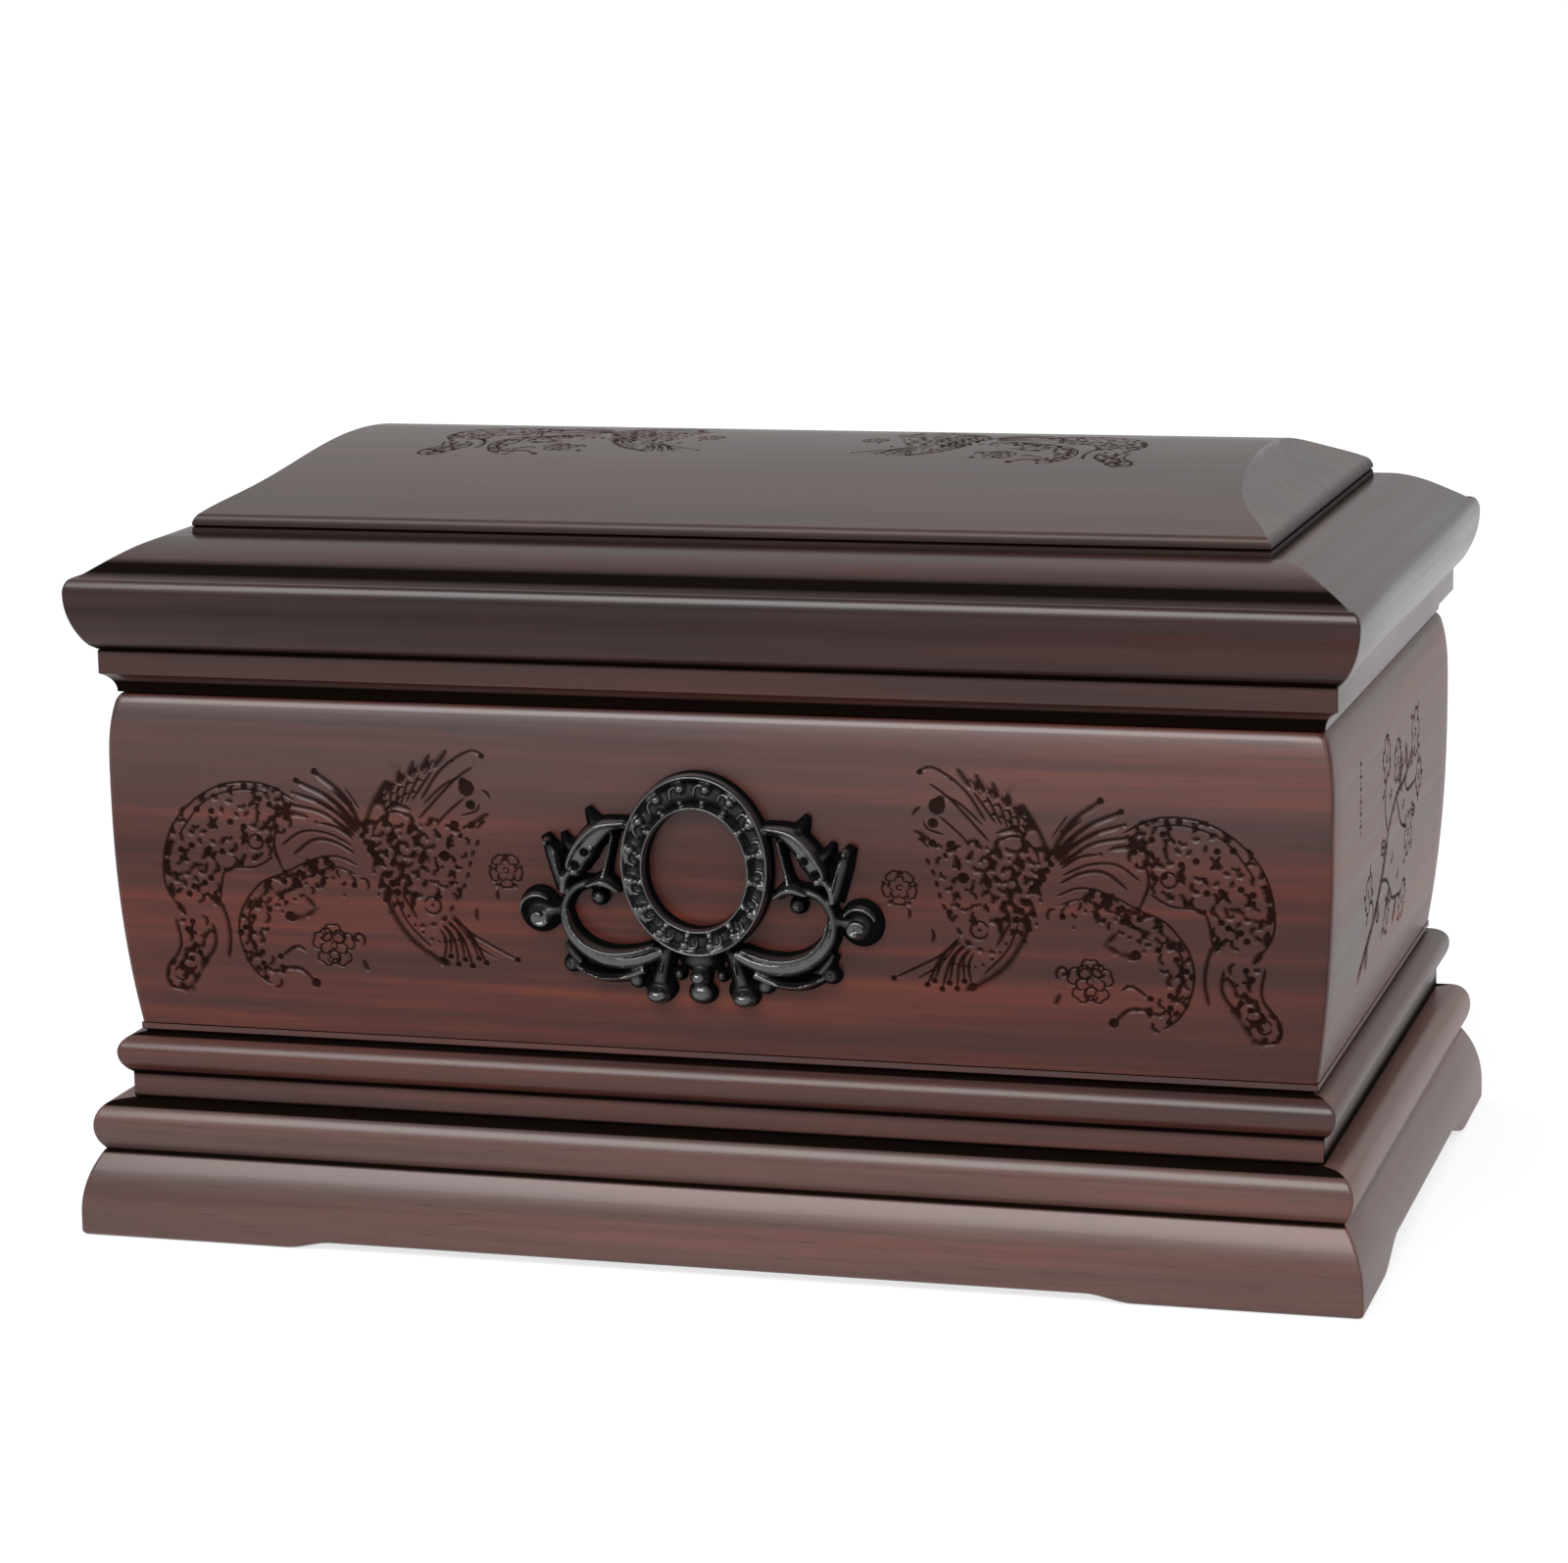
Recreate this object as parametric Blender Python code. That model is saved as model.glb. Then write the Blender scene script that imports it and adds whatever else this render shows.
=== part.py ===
"""A wooden cremation urn: moulded, mitred boards round a hollow box, with a lift-off lid.

Metres, +Z up, the front faces -Y. The origin is at the centre of the footprint, on the ground.
A section point is (reach, height): reach is measured out from the neck plane, the plane that
the flat outer face of the neck stands in, and height from the underside of its own board.
"""

import math

import bmesh
import bpy
import numpy as np
from mathutils.geometry import delaunay_2d_cdt

MM = 0.001

# Overall sizes and clearances
LENGTH = 330 * MM
DEPTH = 208 * MM
WALL = 12 * MM
GAP = 0.3 * MM
MITRE_GAP = GAP / math.sqrt(2)

# Plinth
PLINTH_SWELL = 11.45 * MM
PLINTH_SWELL_HEIGHT = 5.5 * MM
PLINTH_QUIRK = 6.45 * MM
PLINTH_QUIRK_HEIGHT = 21.4 * MM
PLINTH_EDGE = 1.3 * MM
PLINTH_WALL = 18 * MM
LOWER_TORUS = 8.45 * MM
LOWER_TORUS_HEIGHT = 28 * MM
LOWER_TORUS_SHOULDER = 5 * MM
PLINTH_HEIGHT = 34.2 * MM

# Bracket arches cut into the plinth's lower edge
FRONT_FOOT = 56 * MM
FRONT_OGEE = 12 * MM
FRONT_ARCH_RISE = 1.8 * MM
SIDE_FOOT = 33 * MM
SIDE_OGEE = 21 * MM
SIDE_ARCH_RISE = 5.5 * MM

# Waist
WAIST_RECESS = 0.2 * MM
WAIST_RECESS_HEIGHT = 4.9 * MM
UPPER_TORUS = 3.25 * MM
UPPER_TORUS_HEIGHT = 12 * MM
UPPER_TORUS_SHOULDER = 5.4 * MM
WAIST_HEIGHT = 18.9 * MM

# Floor of the box
BOTTOM_THICKNESS = 9 * MM

# Body
BODY_HEIGHT = 85.7 * MM
BODY_BELLY = 2.45 * MM
BODY_BELLY_HEIGHT = 64.4 * MM
BODY_FOOT_DROP = 4.3 * MM
BODY_CORNER = 2 * MM
FOOT_POWER = 2.35
HEAD_POWER = 3.2

# Neck
NECK_FACE_HEIGHT = 0.7 * MM
NECK_BAND = 3.4 * MM
NECK_BAND_HEIGHT = 5 * MM
NECK_HEIGHT = 11.2 * MM

# Lid frame
LID_EAVE = 5.9 * MM
LID_EAVE_HEIGHT = 2.2 * MM
LID_OVOLO = 9.6 * MM
LID_OVOLO_HEIGHT = 14.6 * MM
LID_RIM_HEIGHT = 16.4 * MM
LID_FILLET = 7.3 * MM
LID_FILLET_HEIGHT = 18.1 * MM
LID_SLOPE_RISE = 8.6 * MM
LIP_WIDTH = 9.5 * MM
LIP_DROP = 5 * MM
LIP_CLEARANCE = 0.5 * MM

# Crown
CROWN_INSET = 15.75 * MM
CROWN_SEAT = 6.4 * MM
CROWN_EDGE = 8.8 * MM
CROWN_RISE = 14.7 * MM
CROWN_ROUND = 2 * MM
CROWN_ROUND_RISE = 2.46 * MM
CROWN_BEVEL = 15.1 * MM

# Ornament, with its own height as the measure of its drawing
ORNAMENT_FOOT_MARGIN = 12 * MM
ORNAMENT_HEAD_MARGIN = 13 * MM
ORNAMENT_DRAWN_HEIGHT = 60.7
ORNAMENT_VOXEL = 0.65 * MM
ORNAMENT_FACES = 2200

# Engraving
GROOVE_HALF_WIDTH = 0.5 * MM
GROOVE_SLOPE = 0.9
MOTIF_FOOT_MARGIN = 9 * MM
MOTIF_HEAD_MARGIN = 11 * MM
MOTIF_DRAWN_HEIGHT = 66.0
PHOENIX_END_MARGIN = 59.5 * MM
CROWN_MOTIF_SPACING = 56 * MM
CROWN_MOTIF_SHIFT = -3 * MM
CROWN_MOTIF_HEIGHT = 57.4 * MM

# What follows from the sizes above
HALF_LENGTH = LENGTH / 2 - PLINTH_SWELL
HALF_DEPTH = DEPTH / 2 - PLINTH_SWELL
WAIST_BASE = PLINTH_HEIGHT + GAP
BODY_BASE = WAIST_BASE + WAIST_HEIGHT + GAP
NECK_BASE = BODY_BASE + BODY_HEIGHT + GAP
LID_BASE = NECK_BASE + NECK_HEIGHT + GAP
CROWN_LEDGE = LID_FILLET_HEIGHT + LID_SLOPE_RISE - CROWN_SEAT
CROWN_BASE = LID_BASE + CROWN_LEDGE + GAP
CROWN_HALF_LENGTH = HALF_LENGTH - CROWN_INSET
CROWN_HALF_DEPTH = HALF_DEPTH - CROWN_INSET
SIDE_TURNS = {"front": 0, "right": 90, "back": 180, "left": 270}

# Colours, roughness and metallic value of each finish
WOOD_DARK = ((0.075, 0.028, 0.020), 0.32, 0.0)
WOOD_RED = ((0.105, 0.036, 0.024), 0.30, 0.0)
BLACK = ((0.010, 0.009, 0.009), 0.24, 0.0)


# Curves

def bezier(controls, count):
    """Points along a Bezier curve of any degree."""
    degree = len(controls) - 1
    points = []
    for step in range(count + 1):
        t = step / count
        weights = [math.comb(degree, k) * (1 - t) ** (degree - k) * t ** k for k in range(degree + 1)]
        points.append(tuple(sum(w * c[axis] for w, c in zip(weights, controls)) for axis in (0, 1)))
    return points


def ellipse_arc(centre, radii, start, end, count):
    """Points along an arc of an ellipse, angles in degrees."""
    angles = np.radians(np.linspace(start, end, count + 1))
    return [(centre[0] + radii[0] * math.cos(a), centre[1] + radii[1] * math.sin(a)) for a in angles]


def swell(start, peak, count):
    """Circular arc from a start point to a peak where it runs upright."""
    rise = peak[1] - start[1]
    reach = peak[0] - start[0]
    radius = (rise * rise + reach * reach) / (2 * reach)
    angle = math.degrees(math.asin(rise / radius))
    return ellipse_arc((peak[0] - radius, peak[1]), (radius, radius), -angle, 0, count)


def smooth(points, spacing):
    """Even points along a smooth curve through the given ones."""
    knots = np.array(points, float)
    padded = np.vstack([2 * knots[0] - knots[1], knots, 2 * knots[-1] - knots[-2]])
    fine = []
    for a, b, c, d in zip(padded[:-3], padded[1:-2], padded[2:-1], padded[3:]):
        for t in np.linspace(0, 1, 12, endpoint=False):
            fine.append(0.5 * (2 * b + (c - a) * t + (2 * a - 5 * b + 4 * c - d) * t * t
                               + (3 * b - a - 3 * c + d) * t ** 3))
    fine = np.array(fine + [knots[-1]])
    travel = np.concatenate([[0], np.cumsum(np.linalg.norm(np.diff(fine, axis=0), axis=1))])
    count = max(2, round(travel[-1] / spacing))
    stops = np.linspace(0, travel[-1], count + 1)
    return np.column_stack([np.interp(stops, travel, fine[:, axis]) for axis in (0, 1)])


# Scene, materials and objects

def clear_scene():
    for old in list(bpy.data.objects):
        bpy.data.objects.remove(old, do_unlink=True)


def make_material(name, finish):
    colour, roughness, metallic = finish
    material = bpy.data.materials.new(name + "_finish")
    material.use_nodes = True
    shader = material.node_tree.nodes["Principled BSDF"]
    shader.inputs["Base Color"].default_value = (*colour, 1)
    shader.inputs["Roughness"].default_value = roughness
    shader.inputs["Metallic"].default_value = metallic
    return material


def add_object(name, mesh, finish=None, height=0.0, turn=0.0):
    thing = bpy.data.objects.new(name, mesh)
    thing.location.z = height
    thing.rotation_euler.z = math.radians(turn)
    bpy.context.scene.collection.objects.link(thing)
    if finish:
        mesh.materials.append(make_material(name, finish))
    return thing


def mesh_from(name, shape):
    bmesh.ops.recalc_face_normals(shape, faces=shape.faces[:])
    mesh = bpy.data.meshes.new(name)
    shape.to_mesh(mesh)
    shape.free()
    return mesh


# Plain mitred boards

def side_sizes(side):
    """Half the run of a side along its length, and the distance of its neck plane from the centre."""
    if side in ("front", "back"):
        return HALF_LENGTH, HALF_DEPTH
    return HALF_DEPTH, HALF_LENGTH


def mitred_board(name, section, side, base, finish):
    """One closed section of (reach, height) points swept along a side and mitred at both ends."""
    run, stand = side_sizes(side)
    shape = bmesh.new()
    rings = []
    for end in (-1, 1):
        rings.append([shape.verts.new((end * (run + reach - MITRE_GAP), -(stand + reach), height))
                      for reach, height in section])
    for ring in rings:
        shape.faces.new(ring)
    for k in range(len(section)):
        after = (k + 1) % len(section)
        shape.faces.new((rings[0][k], rings[0][after], rings[1][after], rings[1][k]))
    return add_object(name, mesh_from(name, shape), finish, base, SIDE_TURNS[side])


def plinth_section():
    edge = ellipse_arc((PLINTH_SWELL - PLINTH_EDGE, PLINTH_EDGE), (PLINTH_EDGE, PLINTH_EDGE), -90, 0, 2)
    drop = swell((PLINTH_QUIRK, 0), (PLINTH_SWELL, PLINTH_QUIRK_HEIGHT - PLINTH_SWELL_HEIGHT), 6)
    face = [(reach, PLINTH_QUIRK_HEIGHT - height) for reach, height in reversed(drop)]
    torus = swell((PLINTH_QUIRK, PLINTH_QUIRK_HEIGHT), (LOWER_TORUS, LOWER_TORUS_HEIGHT), 3)
    shoulder = ellipse_arc((LOWER_TORUS - LOWER_TORUS_SHOULDER, LOWER_TORUS_HEIGHT),
                           (LOWER_TORUS_SHOULDER, PLINTH_HEIGHT - LOWER_TORUS_HEIGHT), 0, 90, 5)
    inner = [(-PLINTH_WALL, PLINTH_HEIGHT), (-PLINTH_WALL, 0)]
    return edge + face + torus[1:] + shoulder[1:] + inner


def waist_section():
    foot = [(-WALL, 0), (WAIST_RECESS, 0)]
    torus = swell((WAIST_RECESS, WAIST_RECESS_HEIGHT), (UPPER_TORUS, UPPER_TORUS_HEIGHT), 4)
    shoulder = ellipse_arc((UPPER_TORUS - UPPER_TORUS_SHOULDER, UPPER_TORUS_HEIGHT),
                           (UPPER_TORUS_SHOULDER, WAIST_HEIGHT - UPPER_TORUS_HEIGHT), 0, 90, 5)
    return foot + torus + shoulder[1:] + [(-WALL, WAIST_HEIGHT)]


def neck_section():
    hollow = bezier([(0, NECK_FACE_HEIGHT), (0.15 * NECK_BAND, 0.72 * NECK_BAND_HEIGHT),
                     (NECK_BAND, NECK_BAND_HEIGHT)], 5)
    return ([(-WALL, 0), (0, 0)] + hollow
            + [(NECK_BAND, NECK_HEIGHT), (-WALL, NECK_HEIGHT)])


def lid_section():
    """The lid's moulding outside, and inside it the lip below and the crown's rebate above."""
    eave = [(NECK_BAND, 0), (LID_EAVE, LID_EAVE_HEIGHT)]
    ovolo = swell((LID_EAVE, LID_EAVE_HEIGHT), (LID_OVOLO, LID_OVOLO_HEIGHT), 5)
    rim = [(LID_OVOLO, LID_RIM_HEIGHT), (LID_OVOLO - 0.6 * MM, LID_RIM_HEIGHT + 0.9 * MM)]
    crest_height = LID_FILLET_HEIGHT + LID_SLOPE_RISE
    rebate = -CROWN_INSET + GAP
    slope = bezier([(LID_FILLET, LID_FILLET_HEIGHT),
                    (LID_FILLET - 6.8 * MM, LID_FILLET_HEIGHT + 4 * MM),
                    (rebate + 7.7 * MM, crest_height + 1.4 * MM),
                    (rebate, crest_height)], 7)
    lip_outer = -WALL - LIP_CLEARANCE
    lip_inner = lip_outer - LIP_WIDTH
    inside = [(rebate, CROWN_LEDGE), (lip_inner, CROWN_LEDGE), (lip_inner, -LIP_DROP),
              (lip_outer, -LIP_DROP), (lip_outer, 0)]
    return eave[:1] + ovolo + rim + slope + inside


def bracket_cutter(name, side):
    """The low arch between two corner feet, as a prism that runs through the board."""
    run, stand = side_sizes(side)
    foot, ogee, rise = FRONT_FOOT, FRONT_OGEE, FRONT_ARCH_RISE
    if side in ("left", "right"):
        foot, ogee, rise = SIDE_FOOT, SIDE_OGEE, SIDE_ARCH_RISE
    outer = run + PLINTH_SWELL - foot
    half = bezier([(outer, 0), (outer - 0.6 * ogee, 0), (outer - 0.4 * ogee, rise), (outer - ogee, rise)], 5)
    outline = [(outer, -rise)] + half
    outline += [(-x, z) for x, z in reversed(outline)]
    shape = bmesh.new()
    near = [shape.verts.new((x, -stand - 2 * PLINTH_SWELL, z)) for x, z in outline]
    far = [shape.verts.new((x, -stand + 2 * PLINTH_WALL, z)) for x, z in outline]
    shape.faces.new(near)
    shape.faces.new(far)
    for k in range(len(outline)):
        after = (k + 1) % len(outline)
        shape.faces.new((near[k], near[after], far[after], far[k]))
    cutter = add_object(name, mesh_from(name, shape), turn=SIDE_TURNS[side])
    cutter.hide_render = True
    cutter.display_type = "WIRE"
    return cutter


def make_plinth():
    for side in SIDE_TURNS:
        board = mitred_board("plinth_" + side, plinth_section(), side, 0.0, WOOD_DARK)
        arch = board.modifiers.new("bracket arch", "BOOLEAN")
        arch.operation = "DIFFERENCE"
        arch.object = bracket_cutter("arch_cutter_" + side, side)


def make_plain_tiers():
    for side in SIDE_TURNS:
        mitred_board("waist_" + side, waist_section(), side, WAIST_BASE, WOOD_DARK)
        mitred_board("neck_" + side, neck_section(), side, NECK_BASE, WOOD_DARK)
        mitred_board("lid_rail_" + side, lid_section(), side, LID_BASE, WOOD_RED)


def make_bottom():
    half_x = HALF_LENGTH - WALL - GAP
    half_y = HALF_DEPTH - WALL - GAP
    shape = bmesh.new()
    corners = [(-half_x, -half_y), (half_x, -half_y), (half_x, half_y), (-half_x, half_y)]
    lower = [shape.verts.new((x, y, 0)) for x, y in corners]
    face = shape.faces.new(lower)
    extruded = bmesh.ops.extrude_face_region(shape, geom=[face])
    for item in extruded["geom"]:
        if isinstance(item, bmesh.types.BMVert):
            item.co.z = BOTTOM_THICKNESS
    add_object("bottom_board", mesh_from("bottom_board", shape), WOOD_DARK, WAIST_BASE)


# Engraved drawings, in millimetres of the drawing: u away from the ornament, v up

def fan(root, tips, bend, spacing):
    """Curved strokes from one root to a row of tips."""
    strokes = []
    for tip in tips:
        middle = ((root[0] + tip[0]) / 2 + bend[0], (root[1] + tip[1]) / 2 + bend[1])
        strokes.append(smooth([root, middle, tip], spacing))
    return strokes


def circle(centre, radius, sides):
    angles = np.linspace(0, 2 * math.pi, sides + 1)
    return np.column_stack([centre[0] + radius * np.cos(angles), centre[1] + radius * np.sin(angles)])


def spiral(centre, radius, start, turns, steps):
    """A curl that runs in towards its centre; turns may be negative."""
    t = np.linspace(0, 1, steps + 1)
    angles = math.radians(start) + 2 * math.pi * turns * t
    radii = radius * (1 - 0.8 * t)
    return np.column_stack([centre[0] + radii * np.cos(angles), centre[1] + radii * np.sin(angles)])


def flower(centre, radius, petals):
    """Petals round an eye, each an open bow."""
    strokes = [circle(centre, 0.28 * radius, 6)]
    for k in range(petals):
        middle = 2 * math.pi * k / petals + 0.3
        bow = []
        for turn, share in ((-0.8, 0.45), (-0.55, 1.05), (0.55, 1.05), (0.8, 0.45)):
            angle = middle + turn * math.pi / petals
            bow.append((centre[0] + share * radius * math.cos(angle),
                        centre[1] + share * radius * math.sin(angle)))
        strokes.append(np.array(bow))
    return strokes


def phoenix(spacing):
    """Main lines of one phoenix that faces the ornament, its tail away from it."""
    strokes = []
    wing = [(39, 43), (36, 51), (31, 57.5), (23, 62), (15, 65.5), (6, 65)]
    strokes.append(smooth(wing, spacing))
    strokes.append(smooth([(6, 65), (13, 58), (20, 53), (28, 49)], spacing))
    strokes += fan((31, 46), [(17, 61), (24.5, 58), (29.5, 55)], (-0.8, 0.6), spacing)
    strokes += fan((40, 42), [(51, 59), (55.5, 57), (57.5, 51.5)], (-1.2, 1.4), spacing)
    strokes.append(smooth([(4.5, 54), (6.5, 50), (10, 48), (14, 47)], spacing))
    strokes.append(smooth([(9.5, 59), (10.5, 56), (9, 52.5)], spacing))
    strokes.append(smooth([(8, 43), (11, 37), (13, 31), (18, 25), (24, 21.5), (31, 27), (33, 33), (38, 39)], spacing))
    strokes.append(smooth([(14, 47), (19, 42), (27, 44), (33, 40), (39, 43)], spacing))
    strokes.append(smooth([(32, 29), (31, 22), (26, 16.5), (20, 12.5)], spacing))
    strokes += fan((18, 24), [(7.5, 11), (13.5, 11.5), (-2, 12.5)], (0.8, -0.6), spacing)
    plume = [(40, 43), (48, 50), (58, 55), (70, 56.5), (80, 54), (88, 46.5), (93, 36), (92, 26), (88, 20.5)]
    strokes.append(smooth(plume, spacing))
    strokes.append(smooth([(40, 38), (50, 41.5), (59, 38), (67, 34), (77, 33), (80, 29), (77, 22), (76, 10)], spacing))
    strokes.append(smooth([(79, 20), (80.5, 12), (84, 7), (88, 1), (93.5, 3), (92, 11), (90, 19)], spacing))
    strokes.append(smooth([(40, 35), (52, 35.5), (63, 31), (70, 24), (73, 16), (70, 7), (64, 3)], spacing))
    strokes.append(smooth([(50, 29), (55.5, 30.5), (53, 25), (59, 22)], spacing))
    strokes.append(smooth([(53, 5), (56, 9.5), (62, 11.5)], spacing))
    for centre, start in (((60, 47), 200), ((70, 48), 160), ((79, 44), 120), ((84, 34), 60), ((67, 13), 20)):
        strokes.append(spiral(centre, 2.6, start, 0.9, 5))
    strokes += flower((47.5, 14.5), 5.6, 5)
    strokes += flower((1.5, 36.5), 4.2, 5)
    return [stroke - np.array([47, 0]) for stroke in strokes]


def branch(spacing):
    """Main lines of the flowering branch on the left and right boards."""
    strokes = [smooth([(-44, 8), (-30, 15), (-18, 24), (-10, 36), (2, 43), (16, 44), (30, 50)], spacing)]
    strokes.append(smooth([(-18, 24), (-6, 22), (6, 15), (20, 14)], spacing))
    strokes.append(smooth([(-10, 36), (-16, 44), (-15, 53)], spacing))
    strokes.append(smooth([(2, 43), (12, 33), (24, 30)], spacing))
    for centre in ((-14, 56), (33, 53), (27, 29), (23, 12), (-36, 24)):
        strokes += flower(centre, 4.6, 5)
    for v in (44, 49, 54, 59):
        strokes.append(smooth([(-55, v), (-52.5, v + 1.2), (-50, v + 0.4)], spacing))
    return strokes


def placed(strokes, origin, scale, mirror=1):
    """Drawn strokes in metres on their surface, as (centreline, half widths)."""
    result = []
    for stroke in strokes:
        line = stroke * scale * MM * np.array([mirror, 1]) + np.array(origin)
        widths = np.full(len(line), GROOVE_HALF_WIDTH)
        widths[0] = 0
        widths[-1] = 0
        result.append((line, widths))
    return result


def borders(line, widths):
    """The two edges of a stroke, which meet at its ends."""
    along = np.gradient(line, axis=0)
    along /= np.linalg.norm(along, axis=1)[:, None]
    normal = np.column_stack([-along[:, 1], along[:, 0]])
    return line + normal * widths[:, None], line - normal * widths[:, None]


def groove_depth(points, strokes):
    """Depth of the cut at each point: the deepest of the V-shaped grooves that reach it."""
    depth = np.zeros(len(points))
    for line, widths in strokes:
        near = (points > line.min(axis=0) - GROOVE_HALF_WIDTH).all(axis=1)
        near &= (points < line.max(axis=0) + GROOVE_HALF_WIDTH).all(axis=1)
        chosen = points[near]
        for a, b, wide_a, wide_b in zip(line[:-1], line[1:], widths[:-1], widths[1:]):
            step = b - a
            t = np.clip((chosen - a) @ step / (step @ step), 0, 1)
            away = np.linalg.norm(chosen - a - t[:, None] * step, axis=1)
            cut = GROOVE_SLOPE * (wide_a + (wide_b - wide_a) * t - away)
            depth[near] = np.maximum(depth[near], cut)
    return depth


def triangulate(outline, lines, strokes, loose):
    """Triangles of a region that hold its outline, its inner lines, its strokes and loose points."""
    points, edges = [], []

    def add_chain(chain, closed=False):
        first = len(points)
        points.extend(tuple(p / MM for p in point) for point in chain)
        edges.extend((first + k, first + k + 1) for k in range(len(chain) - 1))
        if closed:
            edges.append((len(points) - 1, first))

    add_chain(outline, closed=True)
    for line in lines:
        add_chain(line)
    for line, widths in strokes:
        left, right = borders(line, widths)
        add_chain(line)
        add_chain(left)
        add_chain(right)
    if len(strokes):
        samples = np.vstack([line for line, widths in strokes])
        loose = [p for p in loose if np.linalg.norm(samples - np.array(p), axis=1).min() > 5 * MM]
    points.extend(tuple(p / MM for p in point) for point in loose)
    verts, _, faces, *_ = delaunay_2d_cdt(points, edges, [], 1, 1e-4)
    return np.array([(v[0], v[1]) for v in verts]) * MM, faces


# Body

def body_reach(height):
    """How far the swelling wall stands out from the neck plane."""
    if height < BODY_BELLY_HEIGHT:
        below = (BODY_BELLY_HEIGHT - height) / BODY_BELLY_HEIGHT
        return BODY_BELLY - BODY_FOOT_DROP * below ** FOOT_POWER
    above = (height - BODY_BELLY_HEIGHT) / (BODY_HEIGHT - BODY_BELLY_HEIGHT)
    return BODY_BELLY * (1 - min(above, 1) ** HEAD_POWER)


def corner_drop(x, end):
    """How far a rounded vertical corner falls back from the face, near the end of the run."""
    turn = min(max((abs(x) - (end - BODY_CORNER)) / BODY_CORNER, 0), 1)
    return BODY_CORNER * (1 - math.sqrt(1 - turn * turn))


def body_wall(side, strokes):
    """A wall with a swelling, engraved outer face and a flat inner one."""
    run, stand = side_sizes(side)
    levels = [0.25 * BODY_BELLY_HEIGHT * k for k in range(4)]
    levels += list(np.linspace(BODY_BELLY_HEIGHT, BODY_HEIGHT, 6))
    half_turn = BODY_CORNER * (1 - math.sqrt(0.5))
    right_edge = [(run + body_reach(z) - half_turn - MITRE_GAP, z) for z in levels]
    outline = [(-x, z) for x, z in reversed(right_edge)] + right_edge
    lines = []
    for back in (BODY_CORNER, BODY_CORNER * (1 - math.sin(math.pi / 8))):
        for way in (-1, 1):
            lines.append([(way * (run + body_reach(z) - back), z) for z in levels])
    columns = np.linspace(-run, run, 2 * round(run / (22 * MM)) + 1)[1:-1]
    loose = [(x, z) for x in columns for z in levels[1:-1]]
    loose += [(x, z) for x in columns[::3] for z in (levels[0], levels[-1])]
    points, faces = triangulate(outline, lines, strokes, loose)
    depth = groove_depth(points, strokes)
    shape = bmesh.new()
    verts = []
    for (x, z), cut in zip(points, depth):
        reach = body_reach(z)
        verts.append(shape.verts.new((x, -(stand + reach - corner_drop(x, run + reach) - cut), z)))
    for face in faces:
        shape.faces.new([verts[k] for k in face])
    close_behind(shape, -(stand - WALL), run - WALL - MITRE_GAP)
    name = "body_" + side
    return add_object(name, mesh_from(name, shape), WOOD_RED, BODY_BASE, SIDE_TURNS[side])


def close_behind(shape, back, half_run):
    """Close an open outer face with a flat back: four edge faces and the back itself."""
    rim = {v for e in shape.edges if e.is_boundary for v in e.verts}
    top_level = BODY_HEIGHT - GAP / 10
    low = sorted((v for v in rim if v.co.z < GAP / 10), key=lambda v: v.co.x)
    high = sorted((v for v in rim if v.co.z > top_level), key=lambda v: v.co.x)
    left = sorted((v for v in rim if v not in low and v not in high and v.co.x < 0), key=lambda v: v.co.z)
    right = sorted((v for v in rim if v not in low and v not in high and v.co.x > 0), key=lambda v: v.co.z)
    corner = {}
    for x in (-1, 1):
        for z in (0, 1):
            corner[x, z] = shape.verts.new((x * half_run, back, z * BODY_HEIGHT))
    shape.faces.new(low + [corner[1, 0], corner[-1, 0]])
    shape.faces.new(high + [corner[1, 1], corner[-1, 1]])
    shape.faces.new([low[0]] + left + [high[0], corner[-1, 1], corner[-1, 0]])
    shape.faces.new([low[-1]] + right + [high[-1], corner[1, 1], corner[1, 0]])
    shape.faces.new([corner[-1, 0], corner[1, 0], corner[1, 1], corner[-1, 1]])


def make_body():
    scale = (BODY_HEIGHT - MOTIF_FOOT_MARGIN - MOTIF_HEAD_MARGIN) / (MOTIF_DRAWN_HEIGHT * MM)
    drawing = phoenix(5.5)
    centre = HALF_LENGTH - PHOENIX_END_MARGIN
    birds = []
    for way in (-1, 1):
        birds += placed(drawing, (way * centre, MOTIF_FOOT_MARGIN), scale, way)
    body_wall("front", birds)
    body_wall("back", [])
    twig = branch(7)
    body_wall("right", placed(twig, (0, MOTIF_FOOT_MARGIN), scale))
    body_wall("left", placed(twig, (0, MOTIF_FOOT_MARGIN), scale, -1))


# Crown

def crown_edges():
    """Insets of the long and the short edges at shared heights above the crown's upright edge."""
    radius = (CROWN_HALF_DEPTH ** 2 + (CROWN_RISE - arch_foot()) ** 2) / (2 * (CROWN_RISE - arch_foot()))
    rounding = bezier([(0, 0), (0, 0.6 * CROWN_ROUND_RISE), (0.4 * CROWN_ROUND, 0.9 * CROWN_ROUND_RISE),
                       (CROWN_ROUND, CROWN_ROUND_RISE)], 3)
    long_side = list(rounding)
    for y in np.linspace(CROWN_HALF_DEPTH - CROWN_ROUND, 0, 9)[1:]:
        height = CROWN_RISE - radius + math.sqrt(radius * radius - y * y)
        long_side.append((CROWN_HALF_DEPTH - y, height))
    bevel = np.array(bezier([(0, 0), (0.08 * CROWN_BEVEL, 0.34 * CROWN_RISE),
                             (0.875 * CROWN_BEVEL, 0.41 * CROWN_RISE), (CROWN_BEVEL, CROWN_RISE)], 60))
    heights = [height for inset, height in long_side]
    short_insets = np.interp(heights, bevel[:, 1], bevel[:, 0])
    return [inset for inset, height in long_side], list(short_insets), heights


def arch_foot():
    """Height of the plain arch over the long edge, before that edge is rounded."""
    return CROWN_ROUND_RISE * 0.72


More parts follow.
